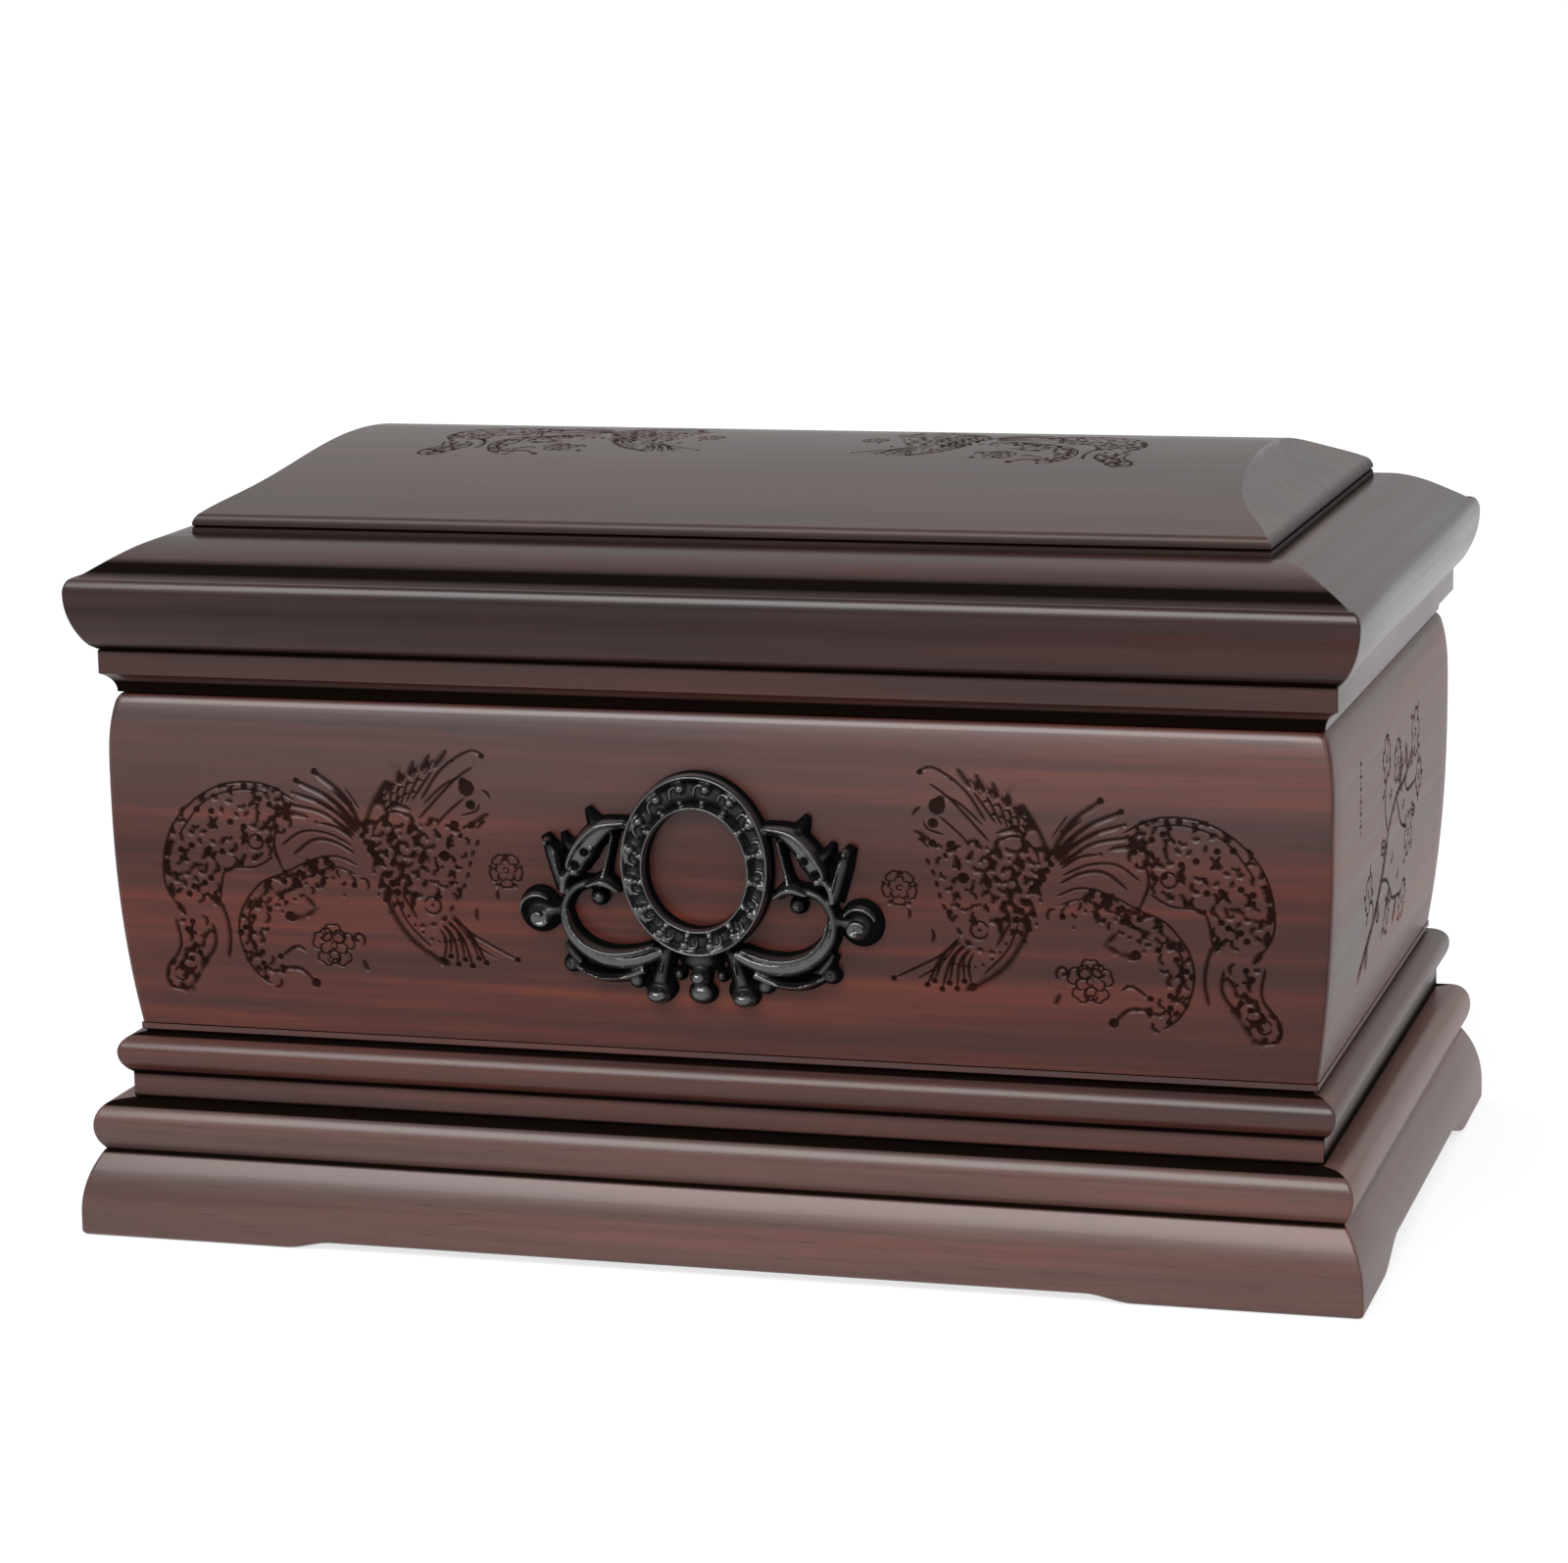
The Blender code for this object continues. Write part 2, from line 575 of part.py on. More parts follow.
def make_crown():
    long_insets, short_insets, heights = crown_edges()
    half_x = [CROWN_HALF_LENGTH - inset for inset in short_insets]
    half_y = [CROWN_HALF_DEPTH - inset for inset in long_insets]
    outline = [(-half_x[0], -half_y[0]), (half_x[0], -half_y[0]),
               (half_x[0], half_y[0]), (-half_x[0], half_y[0])]
    lines = []
    for x, y in zip(half_x[1:4], half_y[1:4]):
        lines.append([(-x, -y), (x, -y), (x, y), (-x, y), (-x, -y)])
    for way in (-1, 1):
        lines += [[(way * x, -y), (way * x, y)] for x, y in zip(half_x[4:], half_y[4:])]
        for y_way in (-1, 1):
            lines.append([(way * x, y_way * y) for x, y in zip(half_x, half_y)])
    columns = np.linspace(-half_x[-1], half_x[-1], 2 * round(half_x[-1] / (20 * MM)) + 1)[1:-1]
    loose = [(x, way * y) for x in columns for y in half_y[4:-1] for way in (-1, 1)]
    loose += [(x, 0) for x in columns]
    drawing = [stroke - np.array([0, MOTIF_DRAWN_HEIGHT / 2]) for stroke in phoenix(8)]
    strokes = []
    for way in (-1, 1):
        origin = (way * CROWN_MOTIF_SPACING, CROWN_MOTIF_SHIFT)
        strokes += placed(drawing, origin, CROWN_MOTIF_HEIGHT / (MOTIF_DRAWN_HEIGHT * MM), way)
    points, faces = triangulate(outline, lines, strokes, loose)
    depth = groove_depth(points, strokes)
    shape = bmesh.new()
    verts = []
    for (x, y), cut in zip(points, depth):
        from_end = np.interp(CROWN_HALF_LENGTH - abs(x), short_insets, heights)
        from_side = np.interp(CROWN_HALF_DEPTH - abs(y), long_insets, heights)
        verts.append(shape.verts.new((x, y, CROWN_EDGE + min(from_end, from_side) - cut)))
    for face in faces:
        shape.faces.new([verts[k] for k in face])
    rim = [edge for edge in shape.edges if edge.is_boundary]
    skirt = bmesh.ops.extrude_edge_only(shape, edges=rim)["geom"]
    for vert in (item for item in skirt if isinstance(item, bmesh.types.BMVert)):
        vert.co.z = 0
    bmesh.ops.holes_fill(shape, edges=[edge for edge in shape.edges if edge.is_boundary])
    add_object("crown_panel", mesh_from("crown_panel", shape), WOOD_DARK, CROWN_BASE)


# Ornament, in millimetres of its own drawing: u across, v up from its foot, h out of the wall

OVAL_CENTRE = (0.0, 36.6)
OVAL_OUTER = (19.3, 23.2)
OVAL_OPENING_CENTRE = (0.0, 35.6)
OVAL_OPENING = (12.8, 14.8)
RING_THICKNESS = 5.0
BEAD_COUNT = 22


def add_tube(shape, line, widths, heights, closed=False, sides=10):
    """A round or flattened bar along a path that lies in the wall's plane."""
    line = np.array(line, float)
    if closed:
        along = np.roll(line, -1, axis=0) - np.roll(line, 1, axis=0)
    else:
        along = np.gradient(line, axis=0)
    along /= np.linalg.norm(along, axis=1)[:, None]
    normal = np.column_stack([-along[:, 1], along[:, 0]])
    rings = []
    for point, out, wide, tall in zip(line, normal, widths, heights):
        ring = []
        for k in range(sides):
            angle = 2 * math.pi * k / sides
            across = wide * math.cos(angle)
            ring.append(shape.verts.new((point[0] + out[0] * across, point[1] + out[1] * across,
                                         tall * math.sin(angle))))
        rings.append(ring)
    pairs = list(zip(rings[:-1], rings[1:]))
    if closed:
        pairs.append((rings[-1], rings[0]))
    else:
        shape.faces.new(rings[0])
        shape.faces.new(rings[-1])
    for one, two in pairs:
        for k in range(sides):
            after = (k + 1) % sides
            shape.faces.new((one[k], one[after], two[after], two[k]))


def add_bead(shape, centre, radii, lift=0.0):
    """A rounded boss whose middle lies lift above the wall."""
    made = bmesh.ops.create_icosphere(shape, subdivisions=2, radius=1)["verts"]
    for vert in made:
        vert.co = (centre[0] + vert.co.x * radii[0], centre[1] + vert.co.y * radii[1],
                   lift + vert.co.z * radii[2])


def add_scroll(shape, points, start, middle, end, height, way):
    """A tapering bar through the given points, mirrored by way."""
    line = smooth([(way * u, v) for u, v in points], 1.2)
    t = np.linspace(0, 1, len(line))
    widths = np.interp(t, [0, 0.5, 1], [start, middle, end])
    add_tube(shape, line, widths, height * (0.55 + 0.45 * widths / widths.max()))


def add_oval(shape):
    """The oval ring: a flat band between a raised rim and a smooth inner lip, with beads."""
    angles = np.linspace(0, 2 * math.pi, 64, endpoint=False)
    turn = np.column_stack([np.cos(angles), np.sin(angles)])
    outer = np.array(OVAL_CENTRE) + turn * np.array(OVAL_OUTER)
    inner = np.array(OVAL_OPENING_CENTRE) + turn * np.array(OVAL_OPENING)
    across = np.linalg.norm(outer - inner, axis=1)
    middle = (outer + inner) / 2
    add_tube(shape, middle, 0.47 * across, np.full(64, RING_THICKNESS), closed=True)
    rim = inner + (outer - inner) * (1 - 1.3 / across)[:, None]
    add_tube(shape, rim, np.full(64, 1.3), np.full(64, RING_THICKNESS + 0.6), closed=True)
    lip = inner + (outer - inner) * (1.1 / across)[:, None]
    add_tube(shape, lip, np.full(64, 1.1), np.full(64, RING_THICKNESS + 0.2), closed=True)
    for k in range(BEAD_COUNT):
        angle = 2 * math.pi * (k + 0.5) / BEAD_COUNT
        way = np.array([math.cos(angle), math.sin(angle)])
        spot = (np.array(OVAL_CENTRE) + way * np.array(OVAL_OUTER) + np.array(OVAL_OPENING_CENTRE)
                + way * np.array(OVAL_OPENING)) / 2
        add_bead(shape, spot, (1.7, 1.7, 1.6), RING_THICKNESS)


def add_ornament_half(shape, way):
    """Everything beside the oval on one side."""
    add_scroll(shape, [(12, 14), (16, 13), (22.5, 12.8), (29, 14.5), (33, 19.5), (34, 25.5),
                       (31, 30.8), (25.5, 32.5), (20, 29.8)], 2.4, 2.2, 2.6, 5.6, way)
    add_scroll(shape, [(25.5, 31.5), (23.6, 28.8), (24.6, 26.4)], 2.0, 2.2, 2.4, 5.0, way)
    add_scroll(shape, [(17, 45.5), (21.5, 45), (26, 42.6), (30, 39.5), (31.5, 35), (31, 30.5)],
               2.0, 3.0, 1.6, 6.2, way)
    add_scroll(shape, [(24, 42), (26.5, 46.5), (27.2, 49.5)], 2.2, 1.4, 0.4, 4.6, way)
    add_scroll(shape, [(31.5, 31), (35, 37), (36.4, 41), (38.6, 44.5)], 2.4, 2.6, 0.5, 5.2, way)
    add_scroll(shape, [(32.5, 28), (36, 25.5), (40, 24.5)], 1.8, 2.0, 2.4, 4.4, way)
    add_bead(shape, (way * 41.3, 24.4), (5.0, 5.2, 5.0))
    add_bead(shape, (way * 41.8, 24.0), (2.6, 2.6, 2.4), 4.4)
    add_scroll(shape, [(11, 13.5), (17, 9.5), (23.5, 7.8), (30, 8.6), (35, 11)], 2.8, 2.0, 0.5, 5.0, way)
    add_scroll(shape, [(22, 9), (27, 11.5), (31.5, 15)], 1.6, 1.6, 1.4, 4.4, way)
    add_scroll(shape, [(6, 14), (9, 9.5), (11.4, 4.6)], 3.0, 2.4, 2.4, 5.4, way)
    add_bead(shape, (way * 11.8, 3.2), (3.1, 3.0, 5.6))
    add_bead(shape, (way * 14.8, 8.6), (2.4, 2.6, 4.6))


def make_ornament():
    """Fuse the bars and beads into one body, cut it flat behind and bend it over the wall."""
    shape = bmesh.new()
    add_oval(shape)
    for way in (-1, 1):
        add_ornament_half(shape, way)
    add_bead(shape, (0, 5.6), (3.5, 4.6, 6.0))
    add_bead(shape, (0, 12.5), (5.5, 3.6, 5.4))
    scale = (BODY_HEIGHT - ORNAMENT_FOOT_MARGIN - ORNAMENT_HEAD_MARGIN) / ORNAMENT_DRAWN_HEIGHT
    bmesh.ops.scale(shape, vec=(scale, scale, scale), verts=shape.verts[:])
    rough = add_object("ornament_rough", mesh_from("ornament_rough", shape))
    fuse = rough.modifiers.new("fuse", "REMESH")
    fuse.mode = "VOXEL"
    fuse.voxel_size = ORNAMENT_VOXEL
    block = bmesh.new()
    bmesh.ops.create_cube(block, size=1)
    reach = 2 * ORNAMENT_DRAWN_HEIGHT * scale
    bmesh.ops.scale(block, vec=(2 * reach, 2 * reach, reach), verts=block.verts[:])
    bmesh.ops.translate(block, vec=(0, 0, -reach / 2), verts=block.verts[:])
    cutter = add_object("ornament_back_cutter", mesh_from("ornament_back_cutter", block))
    flat = rough.modifiers.new("flat back", "BOOLEAN")
    flat.operation = "DIFFERENCE"
    flat.object = cutter
    faces = len(evaluated(rough, "ornament_count").polygons)
    thin = rough.modifiers.new("thin", "DECIMATE")
    thin.ratio = min(1, ORNAMENT_FACES / (2 * faces))
    mesh = evaluated(rough, "ornament_frame")
    for old in (rough, cutter):
        bpy.data.objects.remove(old, do_unlink=True)
    for vert in mesh.vertices:
        across, up, out = vert.co
        height = ORNAMENT_FOOT_MARGIN + up
        vert.co = (across, -(HALF_DEPTH + body_reach(height) + GAP + max(out, 0)), height)
    add_object("ornament_frame", mesh, BLACK, BODY_BASE)


def evaluated(thing, name):
    """A new mesh of the object with its modifiers applied."""
    bpy.context.view_layer.update()
    graph = bpy.context.evaluated_depsgraph_get()
    mesh = bpy.data.meshes.new_from_object(thing.evaluated_get(graph))
    mesh.name = name
    return mesh


def main():
    clear_scene()
    make_plinth()
    make_plain_tiers()
    make_bottom()
    make_body()
    make_crown()
    make_ornament()


main()
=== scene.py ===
"""The looks of a wooden cremation urn: moulded boards, engraved panels and a black ornament."""

import math

import bmesh
import bpy
import numpy as np
from mathutils import Matrix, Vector
from mathutils.geometry import delaunay_2d_cdt


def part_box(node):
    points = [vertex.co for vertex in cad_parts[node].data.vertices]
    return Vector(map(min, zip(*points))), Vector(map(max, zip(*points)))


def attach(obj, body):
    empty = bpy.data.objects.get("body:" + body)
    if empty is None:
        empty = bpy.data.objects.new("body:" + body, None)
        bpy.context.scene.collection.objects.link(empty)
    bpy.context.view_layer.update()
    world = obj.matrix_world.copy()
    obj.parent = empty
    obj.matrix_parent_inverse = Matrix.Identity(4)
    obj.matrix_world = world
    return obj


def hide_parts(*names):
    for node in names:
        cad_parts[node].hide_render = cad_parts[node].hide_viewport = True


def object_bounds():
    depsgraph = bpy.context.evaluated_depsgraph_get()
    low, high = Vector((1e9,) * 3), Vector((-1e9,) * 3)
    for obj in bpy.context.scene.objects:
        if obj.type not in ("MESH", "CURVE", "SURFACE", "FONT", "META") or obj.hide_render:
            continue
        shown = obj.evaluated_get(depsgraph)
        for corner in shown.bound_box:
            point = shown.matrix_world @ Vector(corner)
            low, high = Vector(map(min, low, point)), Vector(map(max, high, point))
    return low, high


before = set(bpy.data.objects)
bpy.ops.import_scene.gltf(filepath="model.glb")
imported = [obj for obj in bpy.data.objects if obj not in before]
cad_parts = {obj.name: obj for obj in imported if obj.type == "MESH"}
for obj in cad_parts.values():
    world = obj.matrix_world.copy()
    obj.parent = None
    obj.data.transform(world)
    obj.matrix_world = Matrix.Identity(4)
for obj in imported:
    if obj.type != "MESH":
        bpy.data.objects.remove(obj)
CAD_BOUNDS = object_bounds()

MM = 0.001

# The camera, found from the box's corners in the photograph: metres, degrees and millimetres of lens
CAMERA_PLACE = (0.3340, -1.1742, 0.3440)
CAMERA_YAW = 16.13
CAMERA_PITCH = 11.11
CAMERA_ROLL = -1.06
CAMERA_LENS = 108.56
CAMERA_SENSOR = 36

# Seams and eased corners
SEAM = 0.05 * MM
BODY_CORNER = 2 * MM
MOULDING_CORNER = 0.8 * MM

# Sections: reach is measured out from the plane of the neck's flat face, and height from the
# underside of the board itself
WALL = 12 * MM

PLINTH_WALL = 18 * MM
PLINTH_SWELL = 11.45 * MM
PLINTH_SWELL_HEIGHT = 5.5 * MM
PLINTH_QUIRK = 6.45 * MM
PLINTH_QUIRK_HEIGHT = 21.4 * MM
PLINTH_QUIRK_DEPTH = 0.5 * MM
PLINTH_QUIRK_STEP = 0.3 * MM
PLINTH_EDGE = 1.3 * MM
ARCH_BLEND_HEIGHT = 10 * MM
LOWER_TORUS = 8.45 * MM
LOWER_TORUS_HEIGHT = 28 * MM
LOWER_TORUS_SHOULDER = 5 * MM

WAIST_RECESS = 0.2 * MM
WAIST_RECESS_HEIGHT = 6.4 * MM
WAIST_RECESS_STOPS = (0, 0.12, 0.3, 0.7, 0.88)
UPPER_TORUS = 3.25 * MM
UPPER_TORUS_HEIGHT = 12 * MM
UPPER_TORUS_SHOULDER = 5.4 * MM
UPPER_TORUS_RISE = 4.5 * MM
WAIST_QUIRK = -2.7 * MM
WAIST_FILLET = -1.75 * MM
WAIST_FILLET_HEIGHT = 17.3 * MM
WAIST_FILLET_EASE = 0.25 * MM

BODY_BELLY = 2.45 * MM
BODY_BELLY_HEIGHT = 64.4 * MM
BODY_FOOT_DROP = 4.3 * MM
BODY_FOOT_POWER = 2.35
BODY_HEAD_POWER = 3.2
BODY_TOP_EASE = 2.4 * MM
BODY_TOP_DROP = 1.5 * MM
BODY_TOP_STOPS = (0.8, 0.6, 0.42, 0.26, 0.13, 0.04, 0.0)
BODY_COLUMN_SPACING = 9 * MM

NECK_FACE_HEIGHT = 0.7 * MM
NECK_BAND = 3.4 * MM
NECK_BAND_HEIGHT = 5 * MM
NECK_BAND_STOPS = (0.3 * MM, 1.0 * MM, 5.0 * MM)
NECK_EASE = 0.4 * MM

LID_EAVE = 5.9 * MM
LID_EAVE_HEIGHT = 2.2 * MM
LID_EAVE_EASE = (0.9 * MM, 1.1 * MM)
LID_OVOLO = 9.6 * MM
LID_OVOLO_HEIGHT = 14.6 * MM
LID_FILLET = 7.3 * MM
LID_FILLET_HEIGHT = 18.1 * MM
LID_RIM_RISE = 0.4 * MM
LID_RIM_TURN = 84
LID_SLOPE_OUTER_HANDLE = (6.8 * MM, 4 * MM)
LID_SLOPE_INNER_HANDLE = (7.7 * MM, 1.4 * MM)
LID_LIP_OUTER = 12.5 * MM
LID_LIP_INNER = 22 * MM
LID_LIP_DROP = 5 * MM

CROWN_INSET = 15.75 * MM
CROWN_SEAT = 6.4 * MM
CROWN_SEAM = 0.3 * MM
CROWN_EDGE = 8.8 * MM
CROWN_EDGE_FOOT = 0.8 * MM
CROWN_EDGE_SHADE = 0.36
CROWN_RISE = 14.7 * MM
CROWN_ROUND = 2 * MM
CROWN_ROUND_RISE = 2.46 * MM
CROWN_ROUND_STEPS = 6
CROWN_BEVEL = 15.1 * MM
CROWN_QUIRK_HEIGHT = 7.9 * MM
CROWN_QUIRK_HALF_WIDTH = 0.45 * MM
CROWN_QUIRK_DEPTH = 0.5 * MM
CROWN_COLUMN_SPACING = 8 * MM

# Bracket arches: foot length from the corner, length of the ogee and rise
FRONT_ARCH = (56 * MM, 12 * MM, 1.8 * MM)
SIDE_ARCH = (33 * MM, 21 * MM, 5.5 * MM)

# Engraving. What is drawn is in millimetres of the drawing, and is scaled to its place on the wood.
CUT_BOLDNESS = 1.3
TWIG_BOLDNESS = 1.5
GROOVE_SLOPE = 0.85
GROOVE_FLOOR = 0.55 * MM
GROOVE_LEAST = 0.004 * MM
GROOVE_STAIN_DEPTH = 0.26 * MM
GROOVE_DARKNESS = 0.52
GROOVE_MARGIN = 0.04 * MM
PIT_SIDES = 8
WIDE_PIT = 0.9 * MM
PIT_STEP = 0.3 * MM
MOTIF_FOOT_MARGIN = 9 * MM
MOTIF_HEAD_MARGIN = 11 * MM
MOTIF_DRAWN_HEIGHT = 66.0
MOTIF_DRAWN_MIDDLE = 47
PHOENIX_END_MARGIN = 59.5 * MM
CROWN_MOTIF_SPACING = 56 * MM
CROWN_MOTIF_SHIFT = -6.2 * MM
CROWN_MOTIF_HEIGHT = 51 * MM

# Ornament
ORNAMENT_FOOT_MARGIN = 12 * MM
ORNAMENT_HEAD_MARGIN = 13 * MM
ORNAMENT_DRAWN_HEIGHT = 60.7
ORNAMENT_GAP = 0.3 * MM
ORNAMENT_VOXEL = 0.32 * MM
# Painted shade on the ornament darkens what stands lower than this height, fading over the next distance
ORNAMENT_BRIGHT_HEIGHT = 4.3 * MM
ORNAMENT_FADE = 1.6 * MM

# Grain of the wood: how often each layer of noise repeats in a metre, along the board and across it
BROAD_GRAIN = (2.6, 60, 60)
STREAK_GRAIN = (6, 230, 230)
FIBRE_GRAIN = (26, 1300, 1300)
PORE_GRAIN = (120, 2600, 2600)
INSIDE_STREAK_GRAIN = (6, 160, 160)
INSIDE_FIBRE_GRAIN = (30, 1200, 1200)

# Finish of the wood. A shine is two heights and the specular levels at them; where the two levels differ, the
# grade is a painted sheen.
# The near-black of the pores, of the grooves' stain and of the painted shade
DARK_STAIN_AND_SHADE = (0.003, 0.0015, 0.001)
EVEN_SHINE = ((0.0, 1.0), (0.38, 0.38))
NECK_SHINE = ((0.0, 1.0), (0.30, 0.30))
END_ROUGHNESS = {"plinth": 0.13, "waist": 0.13, "body": 0.13}

# The room: heights and grey levels of its walls, and its one lamp
ROOM_BANDS = ((0.0, 0.8), (0.02, 0.36), (0.45, 0.55), (0.80, 1.0), (0.92, 0.16), (1.0, 0.10))
ROOM_LEFT_STRENGTH = 1.3
ROOM_RIGHT_STRENGTH = 1.9
FLOOR_HALF_SIZE = 14.0
FLOOR_DROP = 0.0002
FLOOR_GREY = (0.25, 0.25, 0.25)
FLOOR_GLOW = 0.74
SOFTBOX_PLACE = (-0.3, -1.55, 1.5)
SOFTBOX_TARGET = (0, 0, 0.1)
SOFTBOX_SIZE = (2.0, 1.1)
SOFTBOX_POWER = 52

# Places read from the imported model
HALF_LENGTH = float(CAD_BOUNDS[1][0]) - PLINTH_SWELL
HALF_DEPTH = float(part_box("plinth_back")[1][1]) - PLINTH_SWELL
CROWN_HALF_LENGTH = HALF_LENGTH - CROWN_INSET
CROWN_HALF_DEPTH = HALF_DEPTH - CROWN_INSET
SIDE_TURNS = {"front": 0, "right": 90, "back": 180, "left": 270}


def low(node):
    return float(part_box(node)[0][2])


def high(node):
    return float(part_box(node)[1][2])


PLINTH_HEIGHT = high("plinth_front")
WAIST_BASE = low("waist_front")
WAIST_HEIGHT = high("waist_front") - WAIST_BASE
BODY_BASE = low("body_front")
BODY_HEIGHT = high("body_front") - BODY_BASE
NECK_BASE = low("neck_front")
NECK_HEIGHT = high("neck_front") - NECK_BASE
LID_BASE = NECK_BASE + NECK_HEIGHT + 2 * SEAM
CROWN_BASE = low("crown_panel")
LID_CREST = CROWN_BASE - CROWN_SEAM + CROWN_SEAT - LID_BASE


# Curves

def bezier(controls, count):
    """Points along a Bezier curve of any degree."""
    degree = len(controls) - 1
    points = []
    for step in range(count + 1):
        t = step / count
        weights = [math.comb(degree, k) * (1 - t) ** (degree - k) * t ** k for k in range(degree + 1)]
        points.append(tuple(sum(w * c[axis] for w, c in zip(weights, controls)) for axis in (0, 1)))
    return points


def ellipse_arc(centre, radii, start, end, count):
    angles = np.radians(np.linspace(start, end, count + 1))
    return [(centre[0] + radii[0] * math.cos(a), centre[1] + radii[1] * math.sin(a)) for a in angles]


def swell(start, peak, count):
    """Circular arc from a start point to a peak where it runs upright."""
    rise = peak[1] - start[1]
    reach = peak[0] - start[0]
    radius = (rise * rise + reach * reach) / (2 * reach)
    angle = math.degrees(math.asin(rise / radius))
    return ellipse_arc((peak[0] - radius, peak[1]), (radius, radius), -angle, 0, count)


def smooth(points, spacing):
    """Even points along a smooth curve through the given ones."""
    steps = 12
    knots = np.array(points, float)
    padded = np.vstack([2 * knots[0] - knots[1], knots, 2 * knots[-1] - knots[-2]])
    fine = []
    for a, b, c, d in zip(padded[:-3], padded[1:-2], padded[2:-1], padded[3:]):
        for t in np.linspace(0, 1, steps, endpoint=False):
            fine.append(0.5 * (2 * b + (c - a) * t + (2 * a - 5 * b + 4 * c - d) * t * t
                               + (3 * b - a - 3 * c + d) * t ** 3))
    fine = np.array(fine + [knots[-1]])
    travel = np.concatenate([[0], np.cumsum(np.linalg.norm(np.diff(fine, axis=0), axis=1))])
    count = max(2, round(travel[-1] / spacing))
    stops = np.linspace(0, travel[-1], count + 1)
    return np.column_stack([np.interp(stops, travel, fine[:, axis]) for axis in (0, 1)])


def evenly(points, count):
    """A given number of even points along a smooth curve, with both its ends."""
    line = smooth(points, spacing=0.3)
    picks = np.linspace(0, len(line) - 1, count)
    return np.column_stack([np.interp(picks, np.arange(len(line)), line[:, axis]) for axis in (0, 1)])


def around(centre, radius, angles):
    """Points round a centre, at one radius or at one for each angle."""
    return np.column_stack([centre[0] + radius * np.cos(angles), centre[1] + radius * np.sin(angles)])


# Materials

class Nodes:
    """A short way to write the nodes of a material or of the world."""

    def __init__(self, owner, shader):
        owner.use_nodes = True
        self.owner = owner
        self.tree = owner.node_tree
        self.shader = self.tree.nodes[shader]

    def add(self, kind):
        return self.tree.nodes.new(kind)

    def put(self, value, socket):
        """Link an output to an input, or set the input to a colour or a number."""
        if hasattr(value, "is_output"):
            self.tree.links.new(value, socket)
        elif isinstance(value, tuple):
            socket.default_value = (*value, 1)
        else:
            socket.default_value = value

    def set(self, name, value):
        """Link or set one of the shader's own inputs."""
        self.put(value, self.shader.inputs[name])

    def scaled(self, scale, shift=(0, 0, 0)):
        """Object coordinates stretched by a scale along each axis."""
        coordinates = self.add("ShaderNodeTexCoord")
        mapping = self.add("ShaderNodeMapping")
        mapping.inputs["Scale"].default_value = scale
        mapping.inputs["Location"].default_value = shift
        self.put(coordinates.outputs["Object"], mapping.inputs["Vector"])
        return mapping.outputs["Vector"]

    def axes(self, vector):
        """The outputs X, Y and Z of a vector."""
        node = self.add("ShaderNodeSeparateXYZ")
        self.put(vector, node.inputs["Vector"])
        return node.outputs

    def noise(self, vector, detail=3.0, roughness=0.5, distortion=0.0):
        node = self.add("ShaderNodeTexNoise")
        for key, value in (("Vector", vector), ("Scale", 1.0), ("Detail", detail),
                           ("Roughness", roughness), ("Distortion", distortion)):
            self.put(value, node.inputs[key])
        return node.outputs["Fac"]

    def ramp(self, value, stops):
        """A blend between the colours of the stops."""
        node = self.add("ShaderNodeValToRGB")
        while len(node.color_ramp.elements) < len(stops):
            node.color_ramp.elements.new(0.5)
        for element, (place, colour) in zip(node.color_ramp.elements, stops):
            element.position = place
            element.color = (*colour, 1)
        self.put(value, node.inputs["Fac"])
        return node.outputs["Color"]

    def spread(self, value, source, target):
        """A value's source range stretched over the target range, and held at its ends."""
        node = self.add("ShaderNodeMapRange")
        for key, number in zip(("From Min", "From Max", "To Min", "To Max"), (*source, *target)):
            node.inputs[key].default_value = number
        self.put(value, node.inputs["Value"])
        return node.outputs["Result"]

    def mix(self, factor, first, second):
        """A blend of two colours, through the colour sockets of the Mix node."""
        node = self.add("ShaderNodeMix")
        node.data_type = "RGBA"
        for index, value in ((0, factor), (6, first), (7, second)):
            self.put(value, node.inputs[index])
        return node.outputs[2]

    def maths(self, operation, first, second):
        node = self.add("ShaderNodeMath")
        node.operation = operation
        self.put(first, node.inputs[0])
        self.put(second, node.inputs[1])
        return node.outputs[0]

    def bump(self, height, strength, distance):
        node = self.add("ShaderNodeBump")
        for key, value in (("Strength", strength), ("Distance", distance), ("Height", height)):
            self.put(value, node.inputs[key])
        self.set("Normal", node.outputs["Normal"])

    def painted(self, name):
        """A value painted on the mesh, from 0 to 1."""
        node = self.add("ShaderNodeAttribute")
        node.attribute_name = name
        return node.outputs["Fac"]


def new_material(name):
    return Nodes(bpy.data.materials.new(name), "Principled BSDF")


